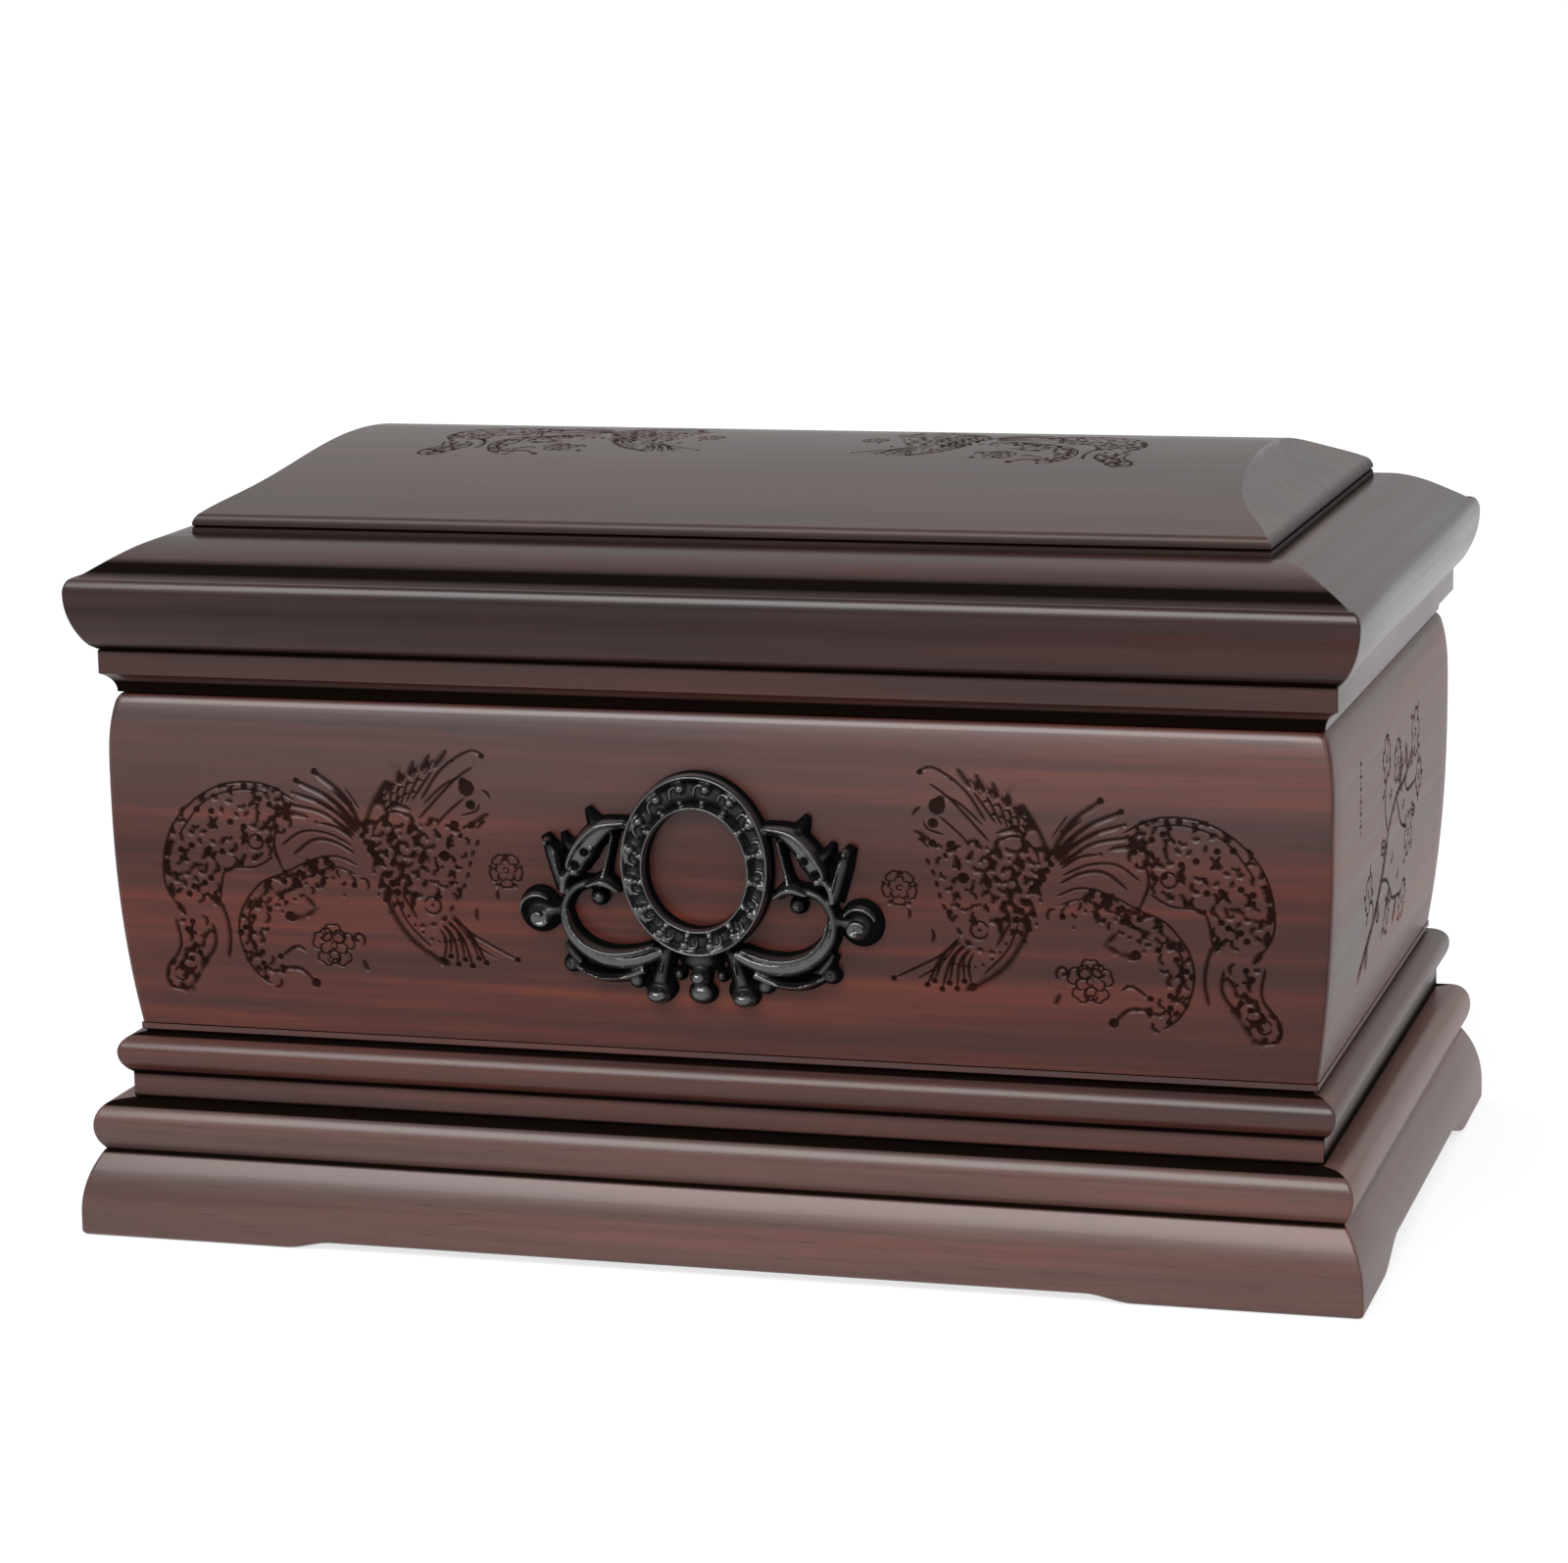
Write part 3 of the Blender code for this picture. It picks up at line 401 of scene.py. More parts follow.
def rosewood(name, dark, middle, red, shift, gloss, shine=EVEN_SHINE):
    """Stained and lacquered wood, its grain along the piece's own X, its shine graded between two heights (a
    painted sheen where the two levels differ), darkened where the grooves' stain and the painted shade lie.
    """
    n = new_material(name)
    broad = n.noise(n.scaled(BROAD_GRAIN, (shift, shift, shift)), detail=3, distortion=0.4)
    streak = n.noise(n.scaled(STREAK_GRAIN, (shift + 3, shift, 0)), detail=5, roughness=0.6, distortion=0.3)
    fibre = n.noise(n.scaled(FIBRE_GRAIN), detail=3, roughness=0.6)
    pores = n.noise(n.scaled(PORE_GRAIN), detail=1)
    figure = n.maths("ADD", n.maths("MULTIPLY", broad, 0.55), n.maths("MULTIPLY", streak, 0.45))
    colour = n.ramp(figure, [(0.36, dark), (0.50, middle), (0.66, red)])
    colour = n.mix(n.spread(fibre, (0.35, 0.65), (0.0, 0.30)), colour, dark)
    colour = n.mix(n.spread(pores, (0.66, 0.72), (0.0, 0.35)), colour, DARK_STAIN_AND_SHADE)
    # The painted layer holds the grooves' stain and the mouldings' painted shade: it darkens the colour,
    # roughens the lacquer and takes away its specular and coat
    stain_and_shade = n.spread(n.painted("stain_and_shade"), (0.05, 0.6), (0.0, 1.0))
    n.set("Base Color", n.mix(stain_and_shade, colour, DARK_STAIN_AND_SHADE))
    worn = n.spread(streak, (0.3, 0.7), (gloss - 0.03, gloss + 0.05))
    n.set("Roughness", n.maths("ADD", worn, n.maths("MULTIPLY", stain_and_shade, 0.5)))
    # Specular level graded by height: a painted sheen where a board's two levels differ
    height = n.axes(n.scaled((1, 1, 1)))["Z"]
    free_of_stain_and_shade = n.spread(stain_and_shade, (0.0, 1.0), (1.0, 0.05))
    n.set("Specular IOR Level", n.maths("MULTIPLY", n.spread(height, *shine), free_of_stain_and_shade))
    n.set("Coat Weight", n.spread(stain_and_shade, (0.0, 0.8), (0.12, 0.0)))
    n.set("Coat Roughness", 0.12)
    n.bump(n.maths("ADD", fibre, n.maths("MULTIPLY", streak, 0.5)), strength=0.05, distance=0.0002)
    return n.owner


def black_gloss(name):
    """Black lacquer over a cast form, a little uneven, with painted shade that makes it darker and dull in
    its hollows.
    """
    n = new_material(name)
    cloud = n.noise(n.scaled((180, 180, 180)), detail=4)
    fine = n.noise(n.scaled((900, 900, 900)), detail=2)
    # The painted layer here is painted shade: near-black and dull low down and in the drilled holes
    hollow = n.painted("stain_and_shade")
    skin = n.ramp(cloud, [(0.3, (0.004, 0.0038, 0.004)), (0.7, (0.010, 0.0095, 0.009))])
    n.set("Base Color", n.mix(hollow, skin, (0.001, 0.001, 0.001)))
    worn = n.spread(cloud, (0.3, 0.7), (0.17, 0.27))
    n.set("Roughness", n.maths("ADD", worn, n.maths("MULTIPLY", hollow, 0.5)))
    n.set("Specular IOR Level", n.spread(hollow, (0.0, 1.0), (0.75, 0.04)))
    n.set("Coat Weight", n.spread(hollow, (0.0, 0.8), (0.7, 0.0)))
    n.set("Coat Roughness", 0.10)
    n.bump(n.maths("ADD", cloud, n.maths("MULTIPLY", fine, 0.3)), strength=0.2, distance=0.0003)
    return n.owner


def plain_board(name):
    """Unlacquered stained board for the floor inside the box."""
    n = new_material(name)
    streak = n.noise(n.scaled(INSIDE_STREAK_GRAIN), detail=5, roughness=0.6, distortion=0.4)
    fibre = n.noise(n.scaled(INSIDE_FIBRE_GRAIN), detail=3)
    colour = n.ramp(streak, [(0.3, (0.05, 0.022, 0.015)), (0.7, (0.12, 0.06, 0.04))])
    n.set("Base Color", n.mix(n.spread(fibre, (0.3, 0.7), (0.0, 0.3)), colour, (0.04, 0.02, 0.014)))
    n.set("Roughness", n.spread(fibre, (0.3, 0.7), (0.5, 0.62)))
    n.bump(fibre, strength=0.2, distance=0.0003)
    return n.owner


# Pieces

def finish_mesh(node, shape, material, side="front", sharp=32):
    """Turn a bmesh into a piece that rides on the body and stands for its node."""
    bmesh.ops.recalc_face_normals(shape, faces=shape.faces[:])
    for face in shape.faces:
        face.smooth = True
    mesh = bpy.data.meshes.new(node + "_piece")
    shape.to_mesh(mesh)
    shape.free()
    mesh.set_sharp_from_angle(angle=math.radians(sharp))
    mesh.materials.append(material)
    piece = bpy.data.objects.new(node + "_piece", mesh)
    piece.rotation_euler.z = math.radians(SIDE_TURNS[side])
    bpy.context.scene.collection.objects.link(piece)
    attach(piece, "root")
    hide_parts(node)
    return mesh


def bridge(shape, one, two):
    """Quads between two rings with the same number of vertices."""
    for k in range(len(one)):
        after = (k + 1) % len(one)
        shape.faces.new((one[k], one[after], two[after], two[k]))


def clamp(value):
    return min(max(value, 0.0), 1.0)


def side_sizes(side):
    """Half the run of a side along its length, and the distance of its neck plane from the centre."""
    if side in ("front", "back"):
        return HALF_LENGTH, HALF_DEPTH
    return HALF_DEPTH, HALF_LENGTH


def side_arch(side):
    """Where a side's arch begins to rise, counted from the middle of the side, its ogee and its rise."""
    run, _ = side_sizes(side)
    foot, ogee, rise = FRONT_ARCH if side in ("front", "back") else SIDE_ARCH
    return run + PLINTH_SWELL - foot, ogee, rise


# Mouldings

def corner_stations(radius):
    """Where an eased corner's rings stand: how far back from the corner and how far in from the face."""
    angles = np.radians([45, 30, 15, 0])
    return [(radius * (1 - math.sin(a)), radius * (1 - math.cos(a))) for a in angles]


def board(node, section_at, side, base, material, stops, stain_and_shade):
    """A mitred board: rings of its section at the eased corners and at stops along its run."""
    run, stand = side_sizes(side)
    eased = corner_stations(MOULDING_CORNER)
    rings = []
    shape = bmesh.new()
    painted_shade_layer = shape.verts.layers.float.new("stain_and_shade")

    def add_ring(section, x_at, drop=0.0):
        ring = []
        for reach, height in section:
            vert = shape.verts.new((x_at(reach), -(stand + reach - drop), base + height))
            # Painted shade from the section's function: dark quirks, hollows and shoulders where shade falls
            vert[painted_shade_layer] = stain_and_shade(reach, height)
            ring.append(vert)
        rings.append(ring)

    def add_corner(way, stations):
        for back, drop in stations:
            add_ring(section_at(run), lambda reach: way * (run + reach - SEAM - back), drop)

    add_corner(-1, eased)
    for x in stops:
        add_ring(section_at(abs(x)), lambda reach: x)
    add_corner(1, reversed(eased))
    shape.faces.new(rings[0])
    shape.faces.new(rings[-1])
    for one, two in zip(rings[:-1], rings[1:]):
        bridge(shape, one, two)
    finish_mesh(node, shape, material, side)


def arch_rise(side, x):
    """Height of the low arch over the ground at a place along the plinth."""
    outer, ogee, rise = side_arch(side)
    t = clamp((outer - abs(x)) / ogee)
    return rise * t * t * (3 - 2 * t)


def plinth_reach(height):
    """The plinth's swelling face below its quirk, an arc that runs upright at the swell's height."""
    rise, drop = PLINTH_QUIRK_HEIGHT - PLINTH_SWELL_HEIGHT, PLINTH_SWELL - PLINTH_QUIRK
    radius = (rise ** 2 + drop ** 2) / (2 * drop)
    away = max(height - PLINTH_SWELL_HEIGHT, 0)
    return PLINTH_SWELL - radius + math.sqrt(radius ** 2 - away ** 2)


def plinth_section(ground):
    """The plinth's section over a point where its lower edge stands at a height."""
    points = [(-PLINTH_WALL, ground)]
    for angle in np.radians(np.linspace(0, 90, 6)):
        height = ground + PLINTH_EDGE * (1 - math.cos(angle))
        points.append((plinth_reach(height) - PLINTH_EDGE * (1 - math.sin(angle)), height))
    levels = [*np.linspace(ground + PLINTH_EDGE, ARCH_BLEND_HEIGHT, 6)[1:],
              *np.linspace(ARCH_BLEND_HEIGHT, PLINTH_QUIRK_HEIGHT, 14)[1:]]
    points += [(plinth_reach(height), height) for height in levels]
    points += swell((PLINTH_QUIRK - PLINTH_QUIRK_DEPTH, PLINTH_QUIRK_HEIGHT + PLINTH_QUIRK_STEP),
                    (LOWER_TORUS, LOWER_TORUS_HEIGHT), 10)
    points += ellipse_arc((LOWER_TORUS - LOWER_TORUS_SHOULDER, LOWER_TORUS_HEIGHT),
                          (LOWER_TORUS_SHOULDER, PLINTH_HEIGHT - LOWER_TORUS_HEIGHT), 0, 90, 14)[1:]
    points.append((-PLINTH_WALL, PLINTH_HEIGHT))
    return points


def waist_section():
    """The recess, the torus over it, and a quirk and a narrow fillet under the body's foot."""
    points = [(-WALL, 0)]
    points += [(WAIST_RECESS, share * WAIST_RECESS_HEIGHT) for share in WAIST_RECESS_STOPS]
    points += swell((WAIST_RECESS, WAIST_RECESS_HEIGHT), (UPPER_TORUS, UPPER_TORUS_HEIGHT), 12)
    points += ellipse_arc((UPPER_TORUS - UPPER_TORUS_SHOULDER, UPPER_TORUS_HEIGHT),
                          (UPPER_TORUS_SHOULDER, UPPER_TORUS_RISE), 0, 90, 14)[1:]
    points += [(WAIST_QUIRK, UPPER_TORUS_HEIGHT + UPPER_TORUS_RISE),
               (WAIST_QUIRK, WAIST_FILLET_HEIGHT),
               (WAIST_FILLET - WAIST_FILLET_EASE, WAIST_FILLET_HEIGHT),
               (WAIST_FILLET, WAIST_FILLET_HEIGHT + WAIST_FILLET_EASE)]
    return points + [(WAIST_FILLET, WAIST_HEIGHT), (-WALL, WAIST_HEIGHT)]


def neck_section():
    """The cavetto, and the flat band over it."""
    hollow = bezier([(0, NECK_FACE_HEIGHT), (0.15 * NECK_BAND, 0.72 * NECK_BAND_HEIGHT),
                     (NECK_BAND, NECK_BAND_HEIGHT)], 12)
    band = [(NECK_BAND, NECK_BAND_HEIGHT + rise) for rise in NECK_BAND_STOPS]
    head = [(NECK_BAND, NECK_HEIGHT - NECK_EASE), (NECK_BAND - NECK_EASE, NECK_HEIGHT), (-WALL, NECK_HEIGHT)]
    return [(-WALL, 0), (0, 0)] + hollow + band + head


def lid_section():
    """The lid's moulding outside, and inside it the lip below and the crown's rebate above."""
    eave = (LID_EAVE - LID_EAVE_EASE[0], LID_EAVE_HEIGHT - LID_EAVE_EASE[1])
    ovolo = swell((LID_EAVE, LID_EAVE_HEIGHT), (LID_OVOLO, LID_OVOLO_HEIGHT), 14)
    roll = (LID_OVOLO - LID_FILLET, LID_FILLET_HEIGHT + LID_RIM_RISE - LID_OVOLO_HEIGHT)
    rim = ellipse_arc((LID_FILLET, LID_OVOLO_HEIGHT), roll, 0, LID_RIM_TURN, 9)[1:]
    rebate = -CROWN_INSET + CROWN_SEAM
    out, up = LID_SLOPE_OUTER_HANDLE
    inner_out, inner_up = LID_SLOPE_INNER_HANDLE
    slope = bezier([(LID_FILLET, LID_FILLET_HEIGHT), (LID_FILLET - out, LID_FILLET_HEIGHT + up),
                    (rebate + inner_out, LID_CREST + inner_up), (rebate, LID_CREST)], 20)
    ledge = LID_CREST - CROWN_SEAT
    inside = [(rebate, ledge), (-LID_LIP_INNER, ledge), (-LID_LIP_INNER, -LID_LIP_DROP),
              (-LID_LIP_OUTER, -LID_LIP_DROP), (-LID_LIP_OUTER, 0)]
    return [(NECK_BAND, 0), eave] + ovolo + rim + slope + inside


# Painted shade on the mouldings, from 0 where there is none to 1 where it is darkest

def near(value, place, width):
    """1 at a place, falling to 0 a width away from it."""
    return max(0.0, 1 - abs(value - place) / width)


def shoulder_painted_shade(reach, height, torus, middle, margin):
    """Painted shade on the top of a torus, beside the board that stands on it."""
    fade = 0.7 * MM
    return clamp((torus - margin - reach) / fade) if height >= middle else 0.0


def plinth_painted_shade(reach, height):
    """Painted shade: a dark quirk, and a dark shoulder under the waist."""
    quirk = near(height, PLINTH_QUIRK_HEIGHT + 0.2 * MM, 0.9 * MM)
    return max(quirk, shoulder_painted_shade(reach, height, LOWER_TORUS, LOWER_TORUS_HEIGHT, 2 * MM))


def waist_painted_shade(reach, height):
    """Painted shade: dark lines at the foot and the head of the recess, a dark shoulder and quirk, and none
    on the fillet.
    """
    if reach > WAIST_QUIRK and height > WAIST_FILLET_HEIGHT - 0.1 * MM:
        return 0.0
    lines = max(near(height, WAIST_RECESS_HEIGHT + 0.2 * MM, 1.3 * MM), near(height, 0, 0.8 * MM))
    return max(lines, shoulder_painted_shade(reach, height, UPPER_TORUS, UPPER_TORUS_HEIGHT, 2.8 * MM))


def neck_painted_shade(reach, height):
    """Painted shade: dark in the cavetto, and a dark line under the lid."""
    hollow = clamp((0.74 * NECK_BAND_HEIGHT - height) / (0.35 * NECK_BAND_HEIGHT))
    return max(hollow, 0.8 * near(height, NECK_HEIGHT, 0.9 * MM))


def lid_painted_shade(reach, height):
    """Painted shade: a dark line at the lid's foot, a faint one on the ovolo, and one low on the slope inside
    the rim.
    """
    on_slope = height > LID_FILLET_HEIGHT - 0.1 * MM and reach < LID_FILLET + 0.1 * MM
    slope = near(height, LID_FILLET_HEIGHT + 2.6 * MM, 2.3 * MM) if on_slope else 0.0
    upper_ovolo = 0.2 * near(height, 0.75 * LID_OVOLO_HEIGHT, 4 * MM)
    return max(slope, upper_ovolo, near(height, 0, 1.8 * MM))


def end_waist_painted_shade(reach, height):
    """Painted shade at the ends of the box, dark only where the waist stands on the plinth."""
    return near(height, 0, 4 * MM)


def no_painted_shade(reach, height):
    return 0.0


def make_mouldings(wood):
    """The plinth, waist, neck and lid frame, four boards each. The box's two ends carry less painted shade
    and are rougher.
    """
    for side in SIDE_TURNS:
        run, _ = side_sizes(side)
        outer, ogee, _ = side_arch(side)
        bends = np.linspace(outer, outer - ogee, 13)
        stops = sorted([-x for x in bends] + list(bends))
        middle = [-0.5 * run, 0.0, 0.5 * run]
        # Painted shade on the front and back; the ends get only a dark line at the waist's foot
        painted_shades, end = (plinth_painted_shade, waist_painted_shade, neck_painted_shade, lid_painted_shade), ""
        if side in ("left", "right"):
            painted_shades, end = (no_painted_shade, end_waist_painted_shade, no_painted_shade, no_painted_shade), "_end"
        board("plinth_" + side, lambda x: plinth_section(arch_rise(side, x)), side, 0.0,
              wood["plinth" + end], stops, painted_shades[0])
        board("waist_" + side, lambda x: waist_section(), side, WAIST_BASE,
              wood["waist" + end], middle, painted_shades[1])
        board("neck_" + side, lambda x: neck_section(), side, NECK_BASE,
              wood["neck" + end], middle, painted_shades[2])
        board("lid_rail_" + side, lambda x: lid_section(), side, LID_BASE,
              wood["lid" + end], middle, painted_shades[3])


# Drawing

class Drawing:
    """Engraved lines and dots, in millimetres of the drawing."""

    def __init__(self):
        self.strokes = []
        self.dots = []

    def pen(self, points, width=0.42, spacing=1.3):
        self.strokes.append((smooth(points, spacing), width))

    def dot(self, centre, radius):
        self.dots.append((np.array(centre, float), radius))

    def gouge(self, points, width):
        """A chisel's cut: wide in its middle and pointed at both ends."""
        line = smooth(points, 0.9)
        swelling = np.sin(np.linspace(0, math.pi, len(line))) ** 0.6
        self.strokes.append((line, width * swelling))

    def dashes(self, points, length, width):
        """A row of chisel cuts along a path."""
        line = smooth(points, 0.6)
        count = max(1, round(0.6 * (len(line) - 1) / length))
        for part in np.array_split(line, count):
            self.gouge([part[0], part[len(part) // 2], part[-1]], width)

    def hook(self, centre, radius, start, width):
        """A short curved cut round a centre."""
        angles = np.radians(start + np.array([0, 60, 120, 170]))
        self.gouge(around(centre, radius, angles), width)

    def curl(self, centre, radius, start, turns, width=0.38):
        """A curl that runs in towards its centre and ends in a dot."""
        t = np.linspace(0, 1, max(8, int(abs(turns) * 12)))
        angles = math.radians(start) + 2 * math.pi * turns * t
        radii = radius * (1 - 0.78 * t)
        line = around(centre, radii, angles)
        self.strokes.append((line, width))
        self.dot(line[-1], width * 1.35)

    def ring(self, centre, radius, width=0.36):
        self.strokes.append((around(centre, radius, np.linspace(0, 2 * math.pi, 13)), width))

    def bow(self, start, end, sag, width=0.34):
        """A short arc that bulges to the left of its way."""
        start, end = np.array(start, float), np.array(end, float)
        along = end - start
        side = np.array([-along[1], along[0]]) * sag
        self.pen([start, (start + end) / 2 + side, end], width, 0.9)

    def flower(self, centre, radius, petals, rings=2, turn=0.3):
        """Rows of open petals round an eye of dots."""
        centre = np.array(centre, float)
        self.ring(centre, 0.16 * radius, 0.3)
        for row in range(rings):
            size = radius * (1 - 0.36 * row)
            for k in range(petals):
                middle = 2 * math.pi * (k + 0.5 * row) / petals + turn
                points = []
                for spread, share in ((-0.85, 0.52), (-0.75, 0.9), (-0.3, 1.08), (0.0, 0.98),
                                      (0.3, 1.08), (0.75, 0.9), (0.85, 0.52)):
                    angle = middle + spread * math.pi / petals
                    points.append(centre + share * size * np.array([math.cos(angle), math.sin(angle)]))
                self.pen(points, 0.36, 0.9)
        for place in around(centre, 0.42 * radius, 2 * math.pi * np.arange(petals) / petals + turn):
            self.dot(place, 0.32)

    def leaf(self, root, tip, spread):
        """A pointed leaf with a midrib and three pairs of veins."""
        root, tip = np.array(root, float), np.array(tip, float)
        along = tip - root
        side = np.array([-along[1], along[0]]) * spread
        for way in (-1, 1):
            edge = [root, root + 0.35 * along + way * side, root + 0.75 * along + 0.7 * way * side, tip]
            self.pen(edge, 0.38)
        self.pen([root, tip - 0.1 * along], 0.34)
        for k in range(3):
            foot = root + (0.25 + 0.2 * k) * along
            for way in (-1, 1):
                self.pen([foot, foot + 0.14 * along + 0.6 * way * side], 0.26, 0.8)

    def shifted(self, du, dv):
        result = Drawing()
        move = np.array([du, dv])
        result.strokes = [(line + move, width) for line, width in self.strokes]
        result.dots = [(centre + move, radius) for centre, radius in self.dots]
        return result


def draw_wings(d):
    """The raised near wing with its rows of feathers, and the long quills of the far one."""
    d.pen([(7.5, 64.5), (12, 65.5), (19.5, 60.5), (25, 52.5)], 0.5)
    d.pen([(10.5, 62), (16.5, 57.5), (26, 47.5)], 0.46)
    d.pen([(15, 59), (19, 56.5), (24.5, 51.5)], 0.42)
    root = np.array([32.0, 46.0])
    tips = [tip - root for tip in evenly([(17.5, 66), (24.5, 64), (31.5, 59.5), (36.5, 53.5)], 6)]
    for k, reach in enumerate(tips):
        d.gouge([root + share * reach for share in (1, 0.87, 0.73)], 1.1)
        d.pen([root + share * reach for share in (0.73, 0.5, 0.3)], 0.46)
        if k:
            between = 0.5 * (reach + tips[k - 1])
            d.pen([root + share * between for share in (0.92, 0.78, 0.66)], 0.34)
            for share in (0.72, 0.57, 0.42):
                d.bow(root + share * tips[k - 1], root + share * reach, 0.35, 0.5)
    d.pen([(33.5, 58), (37, 52.6), (39.2, 48), (40.5, 43.5)], 0.85)
    d.gouge([(27, 50), (31, 51.2), (34.5, 50.5)], 0.8)
    d.pen([(29, 49), (33, 49.5), (37, 46), (38, 43)], 0.46)
    for k, tip in enumerate([(53, 59), (58, 56.5), (59, 53.5), (61, 50.5), (53, 46)]):
        foot = np.array([40.5 + 0.6 * k, 44.5 - 0.7 * k])
        reach = np.array(tip) - foot
        lift = np.array([-0.10 * reach[1], 0.10 * reach[0]])
        d.pen([foot, foot + 0.5 * reach + lift, tip], 0.88 - 0.09 * k)
        d.pen([foot + 0.2 * reach + 1.5 * lift, foot + 0.6 * reach + 1.9 * lift], 0.34)
        d.dot(tip, 1.1 - 0.1 * k)
    d.gouge([(54.5, 47), (58.5, 48), (63, 47.5)], 0.85)
    d.dot((8.5, 64.5), 0.95)


def draw_head(d):
    """Crest, beak, cheek and throat."""
    for u, v, radius in ((12.7, 56.2, 2.3), (11.7, 52, 1.5), (13.6, 57.8, 1.3), (11.5, 47, 1.2),
                         (16, 46.7, 1.35), (14.5, 44.2, 0.8), (19, 38.7, 1.6), (15.5, 30, 1.0)):
        d.dot((u, v), radius)
    d.gouge([(6.4, 53.4), (7.6, 55.3), (9, 56)], 0.55)
    d.gouge([(6.6, 50.1), (9, 48.9), (11.5, 47)], 0.85)
    d.gouge([(7.4, 48.2), (9, 47.4), (10.6, 45.6)], 0.55)
    d.pen([(13, 54), (18.8, 49), (21, 46)], 0.42)
    d.pen([(9.2, 53), (10.3, 50.5), (15, 49)], 0.42)
    d.dashes([(9.7, 43.5), (11.8, 39), (13.4, 33), (16, 27.5)], 3.0, 0.6)
    for row in range(7):
        for k in range(3):
            place = np.array([12.9 + 0.75 * row + 2.6 * k, 45.4 - 2.9 * row + 0.8 * (k % 2)])
            d.hook(place, 1.1, 200 * k + 70 * row, 0.66)
            if (row + k) % 2:
                d.dot(place + (1.2, 1.2), 0.7)


def draw_body(d):
    """The dark tangle of curls over the body, and the breast's lower edge."""
    for row in range(9):
        for k in range(8 - row // 2):
            place = np.array([21.3 + 0.7 * row + 2.4 * k, 46.8 - 2.5 * row + 0.8 * (k % 2)])
            d.hook(place, 1.2, 130 * k + 80 * row, 0.84)
            if (row + k) % 3:
                d.dot(place + (1.3, -1.2), 0.85)
    for k in range(5):
        d.dot((36.4 + 1.1 * k, 36.6 + 1.6 * k), 1.4 - 0.1 * k)
    for k in range(3):
        d.dot((34.4 - 1.2 * k, 33.2 - 2.2 * k), 1.2)
    d.ring((22.8, 25.8), 2.2, 0.44)
    d.dot((22.8, 25.8), 0.7)
    d.dashes([(17, 26.5), (19, 23.5), (22, 21.2), (27, 20.2)], 3.0, 0.8)
    d.pen([(31, 28.5), (29, 25.5), (26.8, 21.5)], 0.6)


def draw_legs(d):
    """The lower wing's edge and the fan of feathers under the body."""
    d.dashes([(34.6, 28.6), (33.8, 24), (29, 16.8), (23, 12.4), (19.5, 10.6)], 3.6, 1.15)
    d.pen([(32.7, 28.5), (29.6, 21), (23.2, 14.2)], 0.40)
    for k, tip in enumerate(evenly([(9.4, 11.4), (14, 10.4), (20.6, 11.4)], 7)):
        foot = np.array([18.0 + 0.6 * k, 23.4 - 0.5 * k])
        rise = np.array([0, 1.6 * (k % 2)])
        d.pen([foot, 0.6 * foot + 0.4 * tip + rise - (1.4, 0), tip + rise], 0.46)
        d.dot(tip + rise, 0.95)
        d.dot(0.5 * (foot + tip) + (0.4, 0.5), 0.5)
    d.pen([(18, 24), (13.5, 19.4), (8.6, 16.5), (1, 12.6)], 0.42)
    d.pen([(17.6, 22.6), (12.6, 16.6), (6.4, 12.4)], 0.32)
    d.dot((1, 12.6), 0.95)
    d.gouge([(10.8, 26), (11.4, 23.8), (10.8, 21.9)], 0.6)
    for place in evenly([(23.5, 17), (27.6, 20.2), (30.8, 25)], 5):
        d.dot(place, 0.7)


def fill_plume(d, outer, inner, count, lanes, size):
    """Cuts, hooks and dots by turns, in lanes between a plume's two edges."""
    tops, feet = evenly(outer, count), evenly(inner, count)
    for k in range(1, count):
        for lane in range(lanes):
            share = (lane + 0.35 + 0.3 * (k % 2)) / lanes
            place = feet[k] + share * (tops[k] - feet[k])
            kind = (3 * k + 2 * lane) % 5
            if kind == 0:
                d.dot(place, 1.15 * size)
            elif kind in (1, 3):
                d.hook(place, (1.2 + 0.15 * kind) * size, 75 * k + 110 * lane, 0.78 * size)
            else:
                way = math.radians(40 * k - 25 * kind)
                half = 1.5 * size * np.array([math.cos(way), math.sin(way)])
                d.gouge([place - half, place + (0.3, 0.3), place + half], 0.92 * size)


